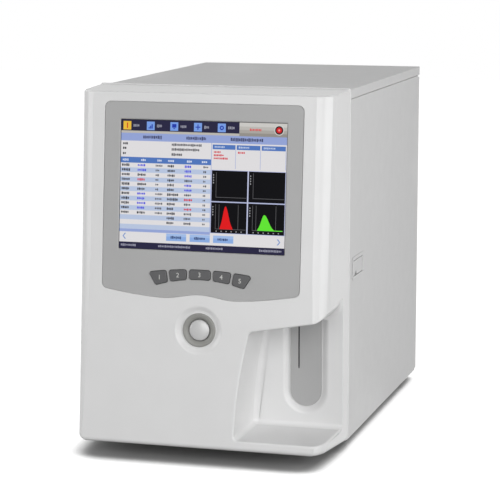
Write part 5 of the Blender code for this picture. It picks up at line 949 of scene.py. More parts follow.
dress(joined("touch_screen_lit", glass, screen_picture), None, "glass_dark", "display_glass")

# Function keys.
# Five hard keys moulded in dark grey with a slight crown, each printed with a plain numeral,
# that reach through the grey panel to switches on the board behind.

KEY_CROWN = mm((-7.4, 0.0), (0.1, 0.0), (0.55, 0.12), (0.85, 0.42), (0.98, 0.85), (1.03, 1.5))
NUMERAL_TALL, NUMERAL_THICK, NUMERAL_OUT = 8.0 * MM, 0.03 * MM, 1.04 * MM
key_grey = skin("key_grey", (0.088, 0.088, 0.091), 0.48, grain=3600, depth=0.03)
key_print = skin("key_print", (0.62, 0.62, 0.60), 0.6, grain=3600, depth=0.01)


def numeral(text, matrix, tall, thick, finish):
    """A printed numeral as a thin solid on a plane."""
    curve = bpy.data.curves.new("numeral", "FONT")
    curve.body = text
    curve.size = tall
    curve.align_x, curve.align_y = "CENTER", "CENTER"
    curve.extrude = thick / 2
    curve.resolution_u = 3
    made = placed("numeral", curve)
    graph = bpy.context.evaluated_depsgraph_get()
    mesh = bpy.data.meshes.new_from_object(made.evaluated_get(graph))
    bpy.data.objects.remove(made)
    mesh.transform(matrix)
    mesh.materials.clear()
    mesh.materials.append(finish)
    return placed("numeral_" + text, mesh)


for i in range(5):
    name, edge = f"key_{i + 1}", key_line(i)
    sections = [in_world(offset(edge, -inset), FACE, height) for height, inset in KEY_CROWN]
    key = smooth(loft(name + "_cap", sections, key_grey))
    middle = sum(edge, Vector((0, 0))) / len(edge)
    mark = numeral(str(i + 1), on_face(-NUMERAL_OUT, *middle), NUMERAL_TALL, NUMERAL_THICK, key_print)
    dress(joined("function_" + name, key, mark), None, "key_grey", name, body=name)

# Start button.
# A turned ring with a rounded lip and a conical throat, pressed into the dish,
# and a metal-look cap that stands in it on a spring.

THROAT, THROAT_TOP = 13.4 * MM, -5.2 * MM
FLARE_FROM, FLARE_WIDE = 13.6 * MM, 4.4 * MM
FLARE_LOW, FLARE_HIGH = -4.9 * MM, 3.1 * MM
RING_OUT, RING_BARREL = 21.0 * MM, 18.1 * MM
LIP_AT, LIP_HIGH, LIP_ROUND = 19.2 * MM, -3.3 * MM, 1.8 * MM
CAP_RADIUS, CAP_TOP, CAP_CROWN, CAP_FOOT = 13.0 * MM, -1.4 * MM, 3.0 * MM, -8.8 * MM
RING_FOOT = -11 * MM
ring_profile = [(THROAT, RING_FOOT), (THROAT, THROAT_TOP)]
for share in shares(8):
    ring_profile.append((FLARE_FROM + FLARE_WIDE * share, FLARE_LOW + FLARE_HIGH * sin(pi / 2 * share)))
for share in shares(8):
    angle = radians(120 - 140 * share)
    ring_profile.append((LIP_AT + LIP_ROUND * cos(angle), LIP_HIGH + LIP_ROUND * sin(angle)))
ring_profile += [(RING_OUT, LIP_HIGH), (RING_BARREL, LIP_HIGH), (RING_BARREL, RING_FOOT)]
start_ring = smooth(turned_form("button_ring", ring_profile, dish_at, steps=96), 40)
ring_grey = skin("ring_grey", (0.27, 0.27, 0.255), 0.36, grain=2800, depth=0.02)
dress(start_ring, ring_grey, "ring_grey", "start_ring")

cap_profile = [(0, CAP_TOP)]
for angle in quarter(12)[1:]:
    cap_profile.append((CAP_RADIUS * sin(angle), CAP_TOP - CAP_CROWN * (1 - cos(angle))))
cap_profile += [(CAP_RADIUS, CAP_FOOT), (0, CAP_FOOT)]
start_cap = smooth(turned_form("start_cap", cap_profile, dish_at, steps=96), 50)
cap_silver = skin("cap_silver", (0.50, 0.50, 0.50), 0.36, grain=2600, depth=0.01, Metallic=0.2)
net(cap_silver.node_tree, {
    "spin TexCoord": {},
    "turn Mapping": {
        "vector_type": "TEXTURE", "Location": dish_at.translation, "Rotation": dish_at.to_euler(),
    },
    "sweep TexGradient": {"gradient_type": "RADIAL"},
    "bands TexNoise": {"noise_dimensions": "1D", 2: 5.0, 3: 2.0},
    "brushed MapRange": {1: 0.3, 2: 0.7, 3: 0.26, 4: 0.44},
}, """
    spin.Object > turn.Vector
    turn.Vector > sweep.Vector
    sweep.Fac > bands.W
    bands.Fac > brushed.Value
    brushed.0 > surface.Roughness
""")
dress(start_cap, cap_silver, "cap_silver", "start_button", body="start_button")

# Sample port.
# A grey wear plate at the back of the alcove, and the thin sampling needle
# that hangs in front of it from the carriage inside the hood.

PLATE_TOP = NICHE_TOP - 0.3 * MM
PLATE_SINK, PLATE_THICK = 2.7 * MM, 2.0 * MM
NEEDLE_AHEAD = 60 * MM
wear_plate = slab(
    "sample_plate", slot_line(PLATE_HALF, PLATE_LOW, PLATE_TOP, 40), across(ALCOVE_BACK),
    -PLATE_SINK, -PLATE_SINK - PLATE_THICK, "plate",
)
round_edges(wear_plate, {("plate", "plate"): 0.7 * MM}, segments=3)
dress(smooth(wear_plate), panel_grey, "panel_grey", "alcove_plate")

needle = turned_form("sampling_needle", mm(
    (0, 227.8), (2.6, 227.8), (3.0, 227.4), (3.0, 222.0), (2.6, 221.6), (0.9, 221.6),
    (0.9, 117.5), (0.75, 116.0), (0.3, 114.5), (0, 114.5),
), Matrix.Translation((PLATE_X, JOINT_Y - NEEDLE_AHEAD, 0)), steps=24)
needle_steel = skin("needle_steel", (0.03, 0.03, 0.032), 0.4, grain=5200, depth=0.004, Metallic=0.6)
dress(smooth(needle), needle_steel, "steel", "sample_probe", body="probe_lift")

# Painted covers.
# Lid, left side, door and rear are 1.5 mm steel, folded at the edges and powder coated white;
# the lid laps over the sides and leaves the thin seam below the top edge.

SHEET = 1.5 * MM
BODY_HALF = 161.5 * MM
BODY_BACK = 0.272454
COVER_FRONT = JOINT_Y + 0.5 * MM
COVER_LOW = BODY_TOP - 12.2 * MM
SEAM = 0.3 * MM
PAN_TOP = COVER_LOW - SEAM
PAN_DEEP = 8 * MM
PAN_OPEN = 12 * MM
BASE = 0.012
FOLD_ROUND = 1.3 * MM
HOLE_ROUND = 0.25 * MM
CUT_OUT = 2 * MM
VENT_BACK, VENT_LOW, VENT_LONG, VENT_WIDE = 110 * MM, 60 * MM, 70 * MM, 3.5 * MM
VENT_PITCH, VENTS = 11 * MM, 8
cover_white = skin("cover_white", (0.68, 0.68, 0.68), 0.58, grain=1500, waviness=60.0, depth=0.04)


def box_form(name, low, high, tag=None):
    bm = bmesh.new()
    bmesh.ops.create_cube(bm, size=1)
    for v in bm.verts:
        v.co = Vector([low[i] + (v.co[i] + 0.5) * (high[i] - low[i]) for i in range(3)])
    return new_piece(name, bm, tag)


def folded(name, outer, inner, *tools):
    """A folded sheet pan from its outer and inner boxes, with holes, its outer bends rounded."""
    piece = box_form(name, *outer, "fold")
    carve(piece, (CUT, box_form(name + "_inside", *inner, "inside")), *tools)
    round_edges(piece, {("fold", "fold"): FOLD_ROUND, ("fold", "hole"): HOLE_ROUND})
    return smooth(piece)


lid_front = JOINT_Y + SEAM
lid = folded(
    "lid",
    ((-BODY_HALF, lid_front, COVER_LOW), (BODY_HALF, BODY_BACK, BODY_TOP)),
    (
        (-BODY_HALF + SHEET, lid_front + SHEET, COVER_LOW - 5 * MM),
        (BODY_HALF - SHEET, BODY_BACK - SHEET, BODY_TOP - SHEET),
    ),
)
dress(lid, cover_white, "cover_white", "top_cover")


def vent_cutter(name, tag):
    """Round-ended slots, one above the other, as one cutter through the left side."""
    ends = (-BODY_HALF - CUT_OUT, -BODY_HALF + 4 * MM)
    y = BODY_BACK - VENT_BACK
    bm = bmesh.new()
    for i in range(VENTS):
        up = VENT_LOW + VENT_PITCH * i
        edge = box_line(y, up, y + VENT_LONG, up + VENT_WIDE, VENT_WIDE / 2, 4)
        rings = [[bm.verts.new((x, p[0], p[1])) for p in edge] for x in ends]
        for j in range(len(edge)):
            bm.faces.new((rings[0][j - 1], rings[0][j], rings[1][j], rings[1][j - 1]))
        bm.faces.new(reversed(rings[0]))
        bm.faces.new(rings[1])
    bmesh.ops.recalc_face_normals(bm, faces=bm.faces)
    return new_piece(name, bm, tag)


side_back = BODY_BACK - SHEET - SEAM
left_side = folded(
    "left_side",
    ((-BODY_HALF, COVER_FRONT, BASE), (-BODY_HALF + PAN_DEEP, side_back, PAN_TOP)),
    (
        (-BODY_HALF + SHEET, COVER_FRONT + SHEET, BASE + SHEET),
        (-BODY_HALF + PAN_OPEN, side_back - SHEET, PAN_TOP - SHEET),
    ),
    (CUT, vent_cutter("vents", "hole")),
)
dress(left_side, cover_white, "cover_white", "left_panel")

HINGE_IN = 4.2 * MM
HINGE_X, HINGE_Y = BODY_HALF - HINGE_IN, BODY_BACK - HINGE_IN
ROLL_LOW, ROLL_HIGH = BASE + 2.5 * MM, PAN_TOP - 2.5 * MM
LATCH_FROM, LATCH_TO, LATCH_UP, LATCH_HALF = 23.6 * MM, 81.0 * MM, 227.5 * MM, 12 * MM
PIN_BORE, PIN_OUT = 1.8 * MM, 3 * MM
CUP_FRAME, CUP_FRAME_ROUND, CUP_ROUND, CUP_WALL = 3 * MM, 5.5 * MM, 3 * MM, 1.6 * MM
CUP_DEEP, CUP_PROUD = 12 * MM, 1.1 * MM
DOOR_SIDE = Matrix(((0, 0, 1, BODY_HALF), (1, 0, 0, JOINT_Y), (0, 1, 0, 0), (0, 0, 0, 1)))


def latch_line(more, radius):
    """The latch's outline on the door: how far along from the joint, and up."""
    low, high = LATCH_UP - LATCH_HALF - more, LATCH_UP + LATCH_HALF + more
    return box_line(LATCH_FROM - more, low, LATCH_TO + more, high, radius, 4)


def rod_form(name, low, high, radius, steps=32):
    """A rod on the door's hinge line."""
    profile = [(0, high), (radius, high), (radius, low), (0, low)]
    return turned_form(name, profile, Matrix.Translation((HINGE_X, HINGE_Y, 0)), "inside", steps)


door_back = HINGE_Y - PAN_DEEP
door = box_form("door", (BODY_HALF - PAN_DEEP, COVER_FRONT, BASE), (BODY_HALF, door_back, PAN_TOP), "fold")
carve(
    door,
    (CUT, box_form(
        "door_inside", (BODY_HALF - PAN_OPEN, COVER_FRONT + SHEET, BASE + SHEET),
        (BODY_HALF - SHEET, door_back - SHEET, PAN_TOP - SHEET), "inside",
    )),
    (ADD, box_form(
        "door_strip", (BODY_HALF - SHEET, door_back - 0.7 * MM, ROLL_LOW),
        (BODY_HALF, HINGE_Y, ROLL_HIGH), "inside",
    )),
    (ADD, rod_form("door_roll", ROLL_LOW, ROLL_HIGH, HINGE_IN)),
    (CUT, rod_form("pin_hole", ROLL_LOW - PIN_OUT, ROLL_HIGH + PIN_OUT, PIN_BORE, 20)),
    (CUT, slab("latch_hole", latch_line(SEAM, CUP_ROUND), DOOR_SIDE, CUT_OUT, -6 * MM, "hole")),
)
round_edges(door, {("fold", "fold"): FOLD_ROUND, ("fold", "hole"): 0.2 * MM})
dress(smooth(door), cover_white, "cover_white", "service_door", body="side_door")

cup = slab("latch_frame", latch_line(CUP_FRAME, CUP_FRAME_ROUND), DOOR_SIDE, CUP_PROUD, 0.3 * MM, "rim")
carve(
    cup,
    (ADD, slab("cup_body", latch_line(0.0, CUP_ROUND), DOOR_SIDE, 0.7 * MM, -CUP_DEEP, "cup")),
    (CUT, slab("cup_inside", latch_line(-CUP_WALL, 1.4 * MM), DOOR_SIDE, 3 * MM, -10.4 * MM, "cup")),
)
round_edges(cup, {("rim", "rim"): 0.35 * MM, ("rim", "cup"): 0.35 * MM}, segments=3)
dress(smooth(cup), cover_white, "cover_white", "latch_cup", body="side_door")

low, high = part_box("latch_paddle")
paddle = box_form("latch_handle", low, high, "paddle")
notch = (low[0] - MM, low[1] + 12 * MM, low[2] - MM), (high[0] + MM, low[1] + 23 * MM, low[2] + 4 * MM)
carve(paddle, (CUT, box_form("finger_notch", *notch, "notch")))
round_edges(paddle, {("paddle", "paddle"): 0.5 * MM, ("paddle", "notch"): 0.5 * MM}, segments=3)
latch_grey = skin("latch_grey", (0.60, 0.60, 0.60), 0.42, grain=3000, depth=0.03)
dress(smooth(paddle), latch_grey, "panel_grey", "latch_paddle", body="latch_paddle")

# Feet.
# Four moulded rubber feet under the base, a little narrower at the floor,
# each held by a screw through its sunk middle.

rubber = skin("rubber", (0.022, 0.022, 0.023), 0.78, grain=1700, depth=0.08)
for name in ("foot_front_left", "foot_front_right", "foot_rear_left", "foot_rear_right"):
    low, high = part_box(name)
    foot = turned_form(name + "_pad", mm(
        (0, 11.7), (14.4, 11.7), (15.0, 11.1), (14.8, 8.8), (13.1, 1.6),
        (12.6, 0.6), (11.8, 0.0), (7.0, 0.0), (6.5, 0.8), (0, 0.8),
    ), Matrix.Translation(((low[0] + high[0]) / 2, (low[1] + high[1]) / 2, 0)), steps=48)
    dress(smooth(foot, 50), rubber, "rubber", name)

# Rear.
# The rear sheet is 1.5 mm steel with punched holes, powder coated like the other covers
# and screwed on round its edge.

FAN_X, FAN_UP, FAN_BORE = -88 * MM, 365 * MM, 38 * MM
INLET_X, INLET_UP = -110 * MM, 75 * MM
DATA_X, DATA_UP = -82 * MM, 170 * MM
PORT_X, PORT_PITCH, PORT_UP, PORT_BORE = 49 * MM, 24 * MM, 85 * MM, 3.7 * MM
HOLE_DEEP = 4 * MM
REAR_FACE = Matrix(((1, 0, 0, 0), (0, 0, 1, BODY_BACK), (0, 1, 0, 0), (0, 0, 0, 1)))


def circle(radius, steps):
    return [(radius * cos(2 * pi * i / steps), radius * sin(2 * pi * i / steps)) for i in range(steps)]


rear_holes = [
    ("fan_hole", circle(FAN_BORE, 64), FAN_X, FAN_UP),
    ("inlet_hole", rectangle(15.3 * MM, 30.3 * MM, MM), INLET_X, INLET_UP),
    ("data_hole", rectangle(40.8 * MM, 8.8 * MM, MM), DATA_X, DATA_UP),
]
for i in range(4):
    rear_holes.append((f"port_hole_{i}", circle(PORT_BORE, 24), PORT_X + PORT_PITCH * i, PORT_UP))
rear = box_form(
    "rear_sheet", (-BODY_HALF, BODY_BACK - SHEET, BASE), (BODY_HALF - 10 * MM, BODY_BACK, PAN_TOP), "fold"
)
carve(rear, *[
    (CUT, slab(name, [(p[0] + x, p[1] + up) for p in edge], REAR_FACE, CUT_OUT, -HOLE_DEEP, "hole"))
    for name, edge, x, up in rear_holes
])
round_edges(rear, {("fold", "fold"): 0.3 * MM, ("fold", "hole"): 0.2 * MM}, segments=2)
dress(smooth(rear), cover_white, "cover_white", "rear_panel")

# Cover screws.
# Pan-head screws with a cross recess, set in rows by one rule: every screw is the same head,
# placed on the points of a hole pattern and turned a little at random as a driver leaves it.


def repeat_tree(name, *inputs):
    """A geometry group whose inputs are the object's hole pattern, these values and a finish."""
    inputs = (("Geometry", "Geometry", None), *inputs, ("Finish", "Material", None))
    return group_of(name, "GeometryNodeTree", inputs, (("Geometry", "Geometry"),))


REALIZED = """
    real.Geometry > coated.Geometry
    in.Finish > coated.Material
    coated.Geometry > out.Geometry
"""


def grown_piece(name, tree, values, points=()):
    """Runs a geometry group on a set of points and keeps the result as a plain mesh."""
    bm = bmesh.new()
    for point in points:
        bm.verts.new(point)
    piece = new_piece(name, bm)
    change = piece.modifiers.new("pattern", "NODES")
    change.node_group = tree
    for item in tree.interface.items_tree:
        if item.item_type == "SOCKET" and item.in_out == "INPUT" and item.name in values:
            change[item.identifier] = values[item.name]
    return applied(piece)


def screw_head(name, radius):
    """A domed head with a cross recess; its seat lies in the XY plane."""
    dome = ((0, 0.62), (0.45, 0.58), (0.8, 0.42), (1, 0.12), (1, 0), (0, 0))
    head = turned_form(name, [(radius * out, radius * up) for out, up in dome], Matrix(), None, 20)
    arm, width, floor, above = (radius * share for share in (0.56, 0.16, 0.28, 2))
    carve(
        head,
        (CUT, box_form("cross_a", (-arm, -width, floor), (arm, width, above))),
        (CUT, box_form("cross_b", (-width, -arm, floor), (width, arm, above))),
    )
    head.data.materials.clear()
    return head


screw_tree = repeat_tree(
    "screw_rows", ("Head", "Object", None), ("Facing", "Vector", (0, 0, 0)), ("Seed", "Int", 3),
)
net(screw_tree, {
    "head ObjectInfo": {"transform_space": "ORIGINAL"},
    "spread InstanceOnPoints": {},
    "turn RandomValue": {"data_type": "FLOAT", 3: pi},
    "spin RotateInstances": {},
    "axes CombineXYZ": {},
    "real RealizeInstances": {},
    "coated SetMaterial": {},
}, """
    in.Geometry > spread.Points
    in.Head > head.Object
    head.Geometry > spread.Instance
    in.Facing > spread.Rotation
    in.Seed > turn.Seed
    turn.1 > axes.Z
    spread.Instances > spin.Instances
    axes.0 > spin.Rotation
    spin.Instances > real.Geometry
""" + REALIZED)
screw_steel = skin("screw_steel", (0.56, 0.56, 0.55), 0.26, grain=6000, depth=0.01, Metallic=1.0)


def screws(name, points, radius, seed):
    """A row of screws in the rear sheet."""
    head = screw_head("one_screw", radius)
    rows = grown_piece(name, screw_tree, {
        "Head": head, "Facing": (-pi / 2, 0.0, 0.0), "Seed": seed, "Finish": screw_steel,
    }, points)
    bpy.data.objects.remove(head)
    dress(smooth(rows, 40), None, "steel")


rear_rows = []
for up in (22, 122, 228, 334, 433):
    for x in (-BODY_HALF + 6 * MM, BODY_HALF - 17 * MM):
        rear_rows.append((x, BODY_BACK, up * MM))
for x in (-60 * MM, 60 * MM):
    rear_rows += [(x, BODY_BACK, 434 * MM), (x, BODY_BACK, 20 * MM)]
screws("rear_cover_screws", rear_rows, 2.9 * MM, 5)
screws("lid_screws", [(x, BODY_BACK, BODY_TOP - 6.4 * MM) for x in (-120 * MM, 0.0, 120 * MM)], 2.6 * MM, 8)

# Cooling fan and its guard.
# An 80 mm axial fan behind the rear sheet: moulded frame, seven pitched blades on a hub,
# and outside it a guard of chromed wire rings welded to four spokes.

FAN_HALF, FAN_DEEP, FAN_ROUND = 40 * MM, 25 * MM, 4.5 * MM
GUARD_OUT, EYE_OUT, EYE_THICK = 1.0 * MM, 0.3 * MM, 1.2 * MM
MOUNT_AT = 50.5 * MM
ROTOR_Y = 0.259
BLADE_ROOT, BLADE_TIP = 15.0 * MM, 35.6 * MM
BLADE_BOW, BLADE_SWEEP = 1.6 * MM, 0.22
BLADE_REACH = 8.6 * MM
black_plastic = skin("black_plastic", (0.028, 0.028, 0.030), 0.42, grain=2600, depth=0.03)
fan_black = skin("fan_black", (0.020, 0.020, 0.022), 0.36, grain=2200, depth=0.02)


def to_rear(x, up, y):
    """Axes whose Z points out of the rear."""
    return Matrix(((-1, 0, 0, x), (0, 0, 1, y), (0, 1, 0, up), (0, 0, 0, 1)))


wire_tree = repeat_tree(
    "wire_guard", ("Rings", "Int", 5), ("First ring", "Float", 0.0), ("Ring pitch", "Float", 0.0),
    ("Wire", "Float", 0.0), ("Spoke from", "Float", 0.0), ("Spoke to", "Float", 0.0),
)
net(wire_tree, {
    "rings MeshLine": {"mode": "OFFSET", "Offset": (0, 0, 0)},
    "circle CurvePrimitiveCircle": {"Resolution": 72, "Radius": 1.0},
    "ring_at InstanceOnPoints": {},
    "index InputIndex": {},
    "size Math": {"operation": "MULTIPLY_ADD"},
    "sizes CombineXYZ": {"Z": 1.0},
    "real_rings RealizeInstances": {},
    "section CurvePrimitiveCircle": {"Resolution": 10},
    "ring_mesh CurveToMesh": {},
    "near CombineXYZ": {},
    "far CombineXYZ": {},
    "spoke CurvePrimitiveLine": {},
    "spoke_mesh CurveToMesh": {"Fill Caps": True},
    "four MeshLine": {"mode": "OFFSET", "Count": 4, "Offset": (0, 0, 0)},
    "spoke_at InstanceOnPoints": {},
    "quarter Math": {"operation": "MULTIPLY_ADD", 1: pi / 2, 2: pi / 4},
    "turns CombineXYZ": {},
    "both JoinGeometry": {},
    "real RealizeInstances": {},
    "coated SetMaterial": {},
}, """
    in.Rings > rings.Count
    index.0 > size.0
    in.Ring pitch > size.1
    in.First ring > size.2
    size.0 > sizes.X
    size.0 > sizes.Y
    rings.Mesh > ring_at.Points
    circle.Curve > ring_at.Instance
    sizes.0 > ring_at.Scale
    ring_at.Instances > real_rings.Geometry
    in.Wire > section.Radius
    real_rings.Geometry > ring_mesh.Curve
    section.Curve > ring_mesh.Profile Curve
    in.Spoke from > near.X
    in.Spoke to > far.X
    near.0 > spoke.Start
    far.0 > spoke.End
    spoke.Curve > spoke_mesh.Curve
    section.Curve > spoke_mesh.Profile Curve
    index.0 > quarter.0
    quarter.0 > turns.Z
    four.Mesh > spoke_at.Points
    spoke_mesh.Mesh > spoke_at.Instance
    turns.0 > spoke_at.Rotation
    spoke_at.Instances > both.0
    ring_mesh.Mesh > both.0
    both.Geometry > real.Geometry
""" + REALIZED)
guard = grown_piece("fan_guard_wires", wire_tree, {
    "Rings": 6, "First ring": 9.0 * MM, "Ring pitch": 5.6 * MM, "Wire": 0.65 * MM,
    "Spoke from": 8.4 * MM, "Spoke to": MOUNT_AT, "Finish": screw_steel,
})
guard.data.transform(to_rear(FAN_X, FAN_UP, BODY_BACK + GUARD_OUT))
bm = bmesh.new()
bm.from_mesh(guard.data)
mounts = []
for i in range(4):
    angle = pi / 4 + pi / 2 * i
    mounts.append((MOUNT_AT * cos(angle), MOUNT_AT * sin(angle)))
for x, up in mounts:
    spot = to_rear(FAN_X + x, FAN_UP + up, BODY_BACK + EYE_OUT)
    eye = turned_form("eye", mm((4.4, 1.2), (4.4, 0.0), (2.1, 0.0), (2.1, 1.2)), spot, steps=28)
    bm.from_mesh(eye.data)
    bpy.data.objects.remove(eye)
bm.to_mesh(guard.data)
bm.free()
dress(smooth(guard, 50), screw_steel, "steel", "fan_guard")
screw_seats = [(FAN_X + x, BODY_BACK + EYE_OUT + EYE_THICK, FAN_UP + up) for x, up in mounts]
screws("fan_guard_screws", screw_seats, 3.0 * MM, 12)

blade_tree = repeat_tree("blades_round_hub", ("Blade", "Object", None), ("Count", "Int", 7))
net(blade_tree, {
    "spots MeshLine": {"mode": "OFFSET", "Offset": (0, 0, 0)},
    "blade ObjectInfo": {"transform_space": "ORIGINAL"},
    "blade_at InstanceOnPoints": {},
    "index InputIndex": {},
    "step Math": {"operation": "DIVIDE", 0: 2 * pi},
    "angle Math": {"operation": "MULTIPLY"},
    "axes CombineXYZ": {},
    "real RealizeInstances": {},
    "coated SetMaterial": {},
}, """
    in.Count > spots.Count
    in.Blade > blade.Object
    in.Count > step.1
    index.0 > angle.0
    step.0 > angle.1
    angle.0 > axes.Z
    spots.Mesh > blade_at.Points
    blade.Geometry > blade_at.Instance
    axes.0 > blade_at.Rotation
    blade_at.Instances > real.Geometry
""" + REALIZED)
blade_rings = []
for share in shares(6):
    reach = BLADE_ROOT + (BLADE_TIP - BLADE_ROOT) * share
    pitch = radians(52 - 22 * share)
    chord = (10.5 + 6.0 * share) * MM
    ring = []
    for side, ahead in ((1, -1), (1, -0.4), (1, 0.3), (1, 1), (-1, 1), (-1, 0.3), (-1, -0.4), (-1, -1)):
        thick = (0.75 if abs(ahead) < 1 else 0.3) * MM * side
        a, b = chord * ahead / 2, BLADE_BOW * (1 - ahead * ahead) + thick
        spot = Vector((reach, a * cos(pitch) - b * sin(pitch), a * sin(pitch) + b * cos(pitch)))
        spot = Matrix.Rotation(BLADE_SWEEP * share, 3, "Z") @ spot
        spot.z = max(-BLADE_REACH, min(BLADE_REACH, spot.z))
        ring.append(spot)
    blade_rings.append(ring)
blade = loft("one_blade", blade_rings)
blades = grown_piece("fan_blades", blade_tree, {"Blade": blade, "Count": 7, "Finish": fan_black})
bpy.data.objects.remove(blade)
hub = turned_form("fan_hub", mm(
    (0, 9.4), (12.5, 9.4), (15.2, 8.6), (16.0, 7.0), (16.0, -9.4), (0, -9.4),
), Matrix(), fan_black, 48)
rotor = joined("fan_wheel", blades, hub)
rotor.data.transform(to_rear(FAN_X, FAN_UP, ROTOR_Y))
dress(smooth(rotor, 35), fan_black, "black_plastic", "fan_rotor", body="fan_rotor")

at_fan = to_rear(FAN_X, FAN_UP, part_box("fan_frame")[1][1])
fan_frame = slab("fan_housing", rectangle(FAN_HALF, FAN_HALF, FAN_ROUND, 6), at_fan, 0.0, -FAN_DEEP, "frame")
bore = mm((0, 3), (38.8, 3), (38.8, 0), (37.4, -4), (37.4, -21), (38.4, -28), (0, -28))
fan_cuts = [(CUT, turned_form("bore", bore, at_fan, "bore", 72))]
hole = mm((0, 3), (2.1, 3), (2.1, -28), (0, -28))
for x, up in mounts:
    spot = at_fan @ Matrix.Translation((x, up, 0))
    fan_cuts.append((CUT, turned_form("mount_hole", hole, spot, "bore", 20)))
seat = mm((0, -22.2), (17, -22.2), (17, -25), (0, -25))
fan_cuts.append((ADD, turned_form("motor_seat", seat, at_fan, "bore", 40)))
strut = mm((0, -1.8), (39.5, -1.8), (39.5, 1.8), (0, 1.8))
for i in range(4):
    turned = at_fan @ Matrix.Rotation(pi / 2 * i + 0.5, 4, "Z")
    fan_cuts.append((ADD, slab("strut", strut, turned, -22.4 * MM, -24.8 * MM, "bore")))
carve(fan_frame, *fan_cuts)
round_edges(fan_frame, {("frame", "frame"): 0.5 * MM}, segments=2)
dress(smooth(fan_frame), black_plastic, "black_plastic", "fan_frame")

# Chassis.
# Zinc-coated steel pressings that the covers screw to: base tray, bulkhead and front frame,
# with the spangle of hot-dip coating and the drawn lines of the rolling mill.

# One group gives every bare metal its rolled or turned lines and its patches of shine.
metal_group = group_of("metal_lines", "ShaderNodeTree", (
    ("Along X", "Float", 40.0), ("Along Y", "Float", 40.0), ("Along Z", "Float", 1600.0),
    ("Spangle", "Float", 160.0),
), (("Lines", "Float"), ("Patches", "Float")))
net(metal_group, {
    "place TexCoord": {},
    "stretch CombineXYZ": {},
    "drawn VectorMath": {"operation": "MULTIPLY"},
    "lines TexNoise": {2: 1.0, 3: 2.0, 4: 0.6},
    "crystals TexVoronoi": {},
    "one SeparateColor": {},
}, """
    in.Along X > stretch.0
    in.Along Y > stretch.1
    in.Along Z > stretch.2
    place.Object > drawn.0
    stretch.0 > drawn.1
    drawn.0 > lines.Vector
    place.Object > crystals.Vector
    in.Spangle > crystals.Scale
    crystals.Color > one.0
    lines.Fac > out.Lines
    one.0 > out.Patches
""")


def bare_metal(name, colour, roughness, along, spangle, patchy, soft):
    """A metal with no paint on it: drawn lines, and patches where the coating crystallised."""
    made = new_finish(name, Metallic=1.0)
    worn = [c * (1 - 0.3 * patchy) for c in colour]
    softened(made.node_tree, net(made.node_tree, {
        "group Group": {
            "node_tree": metal_group, "Spangle": spangle,
            "Along X": along[0], "Along Y": along[1], "Along Z": along[2],
        },
        "dull Mix": {"data_type": "RGBA", "A": (*colour, 1), "B": (*worn, 1)},
        "gloss MapRange": {1: 0.3, 2: 0.7, 3: roughness * 0.8, 4: roughness * 1.25},
        "bump Bump": {"Strength": 0.4, "Distance": 0.01 * MM},
    }, """
        group.Patches > dull.Factor
        dull.Result > surface.Base Color
        group.Lines > gloss.Value
        gloss.0 > surface.Roughness
        group.Lines > bump.Height
        bump.Normal > surface.Normal
    """), soft)
    return made


def finish_nodes(material, *names):
    """Gives carried-over CAD pieces their finish, slot by slot."""
    for name in names:
        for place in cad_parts[name].material_slots:
            place.material = material


zinc_sheet = bare_metal(
    "zinc_sheet", (0.58, 0.59, 0.60), 0.36,
    along=(30.0, 30.0, 900.0), spangle=90.0, patchy=0.7, soft=0.4 * MM,
)
finish_nodes(zinc_sheet, "base_tray", "bulkhead", "front_frame", "probe_frame")
hinge_steel = bare_metal(
    "hinge_steel", (0.50, 0.50, 0.49), 0.34,
    along=(700.0, 700.0, 30.0), spangle=300.0, patchy=0.2, soft=0.3 * MM,
)
finish_nodes(hinge_steel, "door_hinge_lower", "door_hinge_upper")

# Screen module and front board.
# The panel's stamped metal case behind the glass, and the green board that carries
# the five key switches and the start switch.

case_metal = bare_metal(
    "display_case", (0.42, 0.42, 0.43), 0.42,
    along=(1200.0, 40.0, 40.0), spangle=400.0, patchy=0.15, soft=0.4 * MM,
)
finish_nodes(case_metal, "display_module")
board_group = group_of(
    "board_print", "ShaderNodeTree", (("Pitch", "Float", 150.0),), (("Tracks", "Float"), ("Pads", "Float")),
)
net(board_group, {
    "place TexCoord": {},
    "tracks TexVoronoi": {"distance": "MANHATTAN", "feature": "F1", 8: 0.35},
    "edge Math": {"operation": "FRACT"},
    "rows Math": {"operation": "MULTIPLY", 1: 3.0},
    "mask Math": {"operation": "GREATER_THAN", 1: 0.62},
    "pads TexVoronoi": {"feature": "F1", 8: 0.25},
    "pad_mask Math": {"operation": "LESS_THAN", 1: 0.12},
}, """
    place.Object > tracks.Vector
    in.Pitch > tracks.Scale
    place.Object > pads.Vector
    in.Pitch > pads.Scale
    tracks.Distance > rows.0
    rows.0 > edge.0
    edge.0 > mask.0
    pads.Distance > pad_mask.0
    mask.0 > out.Tracks
    pad_mask.0 > out.Pads
""")

# Green solder mask with raised tracks below it and tinned pads.
board_green = new_finish("board_green")
net(board_green.node_tree, {
    "group Group": {"node_tree": board_group, "Pitch": 140.0},
    "mask Mix": {"data_type": "RGBA", "A": (0.012, 0.085, 0.035, 1), "B": (0.022, 0.14, 0.055, 1)},
    "tinned Mix": {"data_type": "RGBA", "B": (0.55, 0.54, 0.50, 1)},
    "gloss MapRange": {3: 0.34, 4: 0.22},
    "bump Bump": {"Strength": 0.5, "Distance": 0.05 * MM},
}, """
    group.Tracks > mask.Factor
    mask.Result > tinned.A
    group.Pads > tinned.Factor
    tinned.Result > surface.Base Color
    group.Pads > gloss.Value
    gloss.0 > surface.Roughness
    group.Pads > surface.Metallic
    group.Tracks > bump.Height
    bump.Normal > surface.Normal
""")
finish_nodes(board_green, "front_board", "main_board")

# Power supply.
# A switched supply in a vented zinc-coated box,
# screwed down on the base tray.

supply_case = bare_metal(
    "supply_case", (0.55, 0.56, 0.56), 0.34,
    along=(1000.0, 30.0, 30.0), spangle=120.0, patchy=0.5, soft=0.4 * MM,
)
finish_nodes(supply_case, "power_supply")

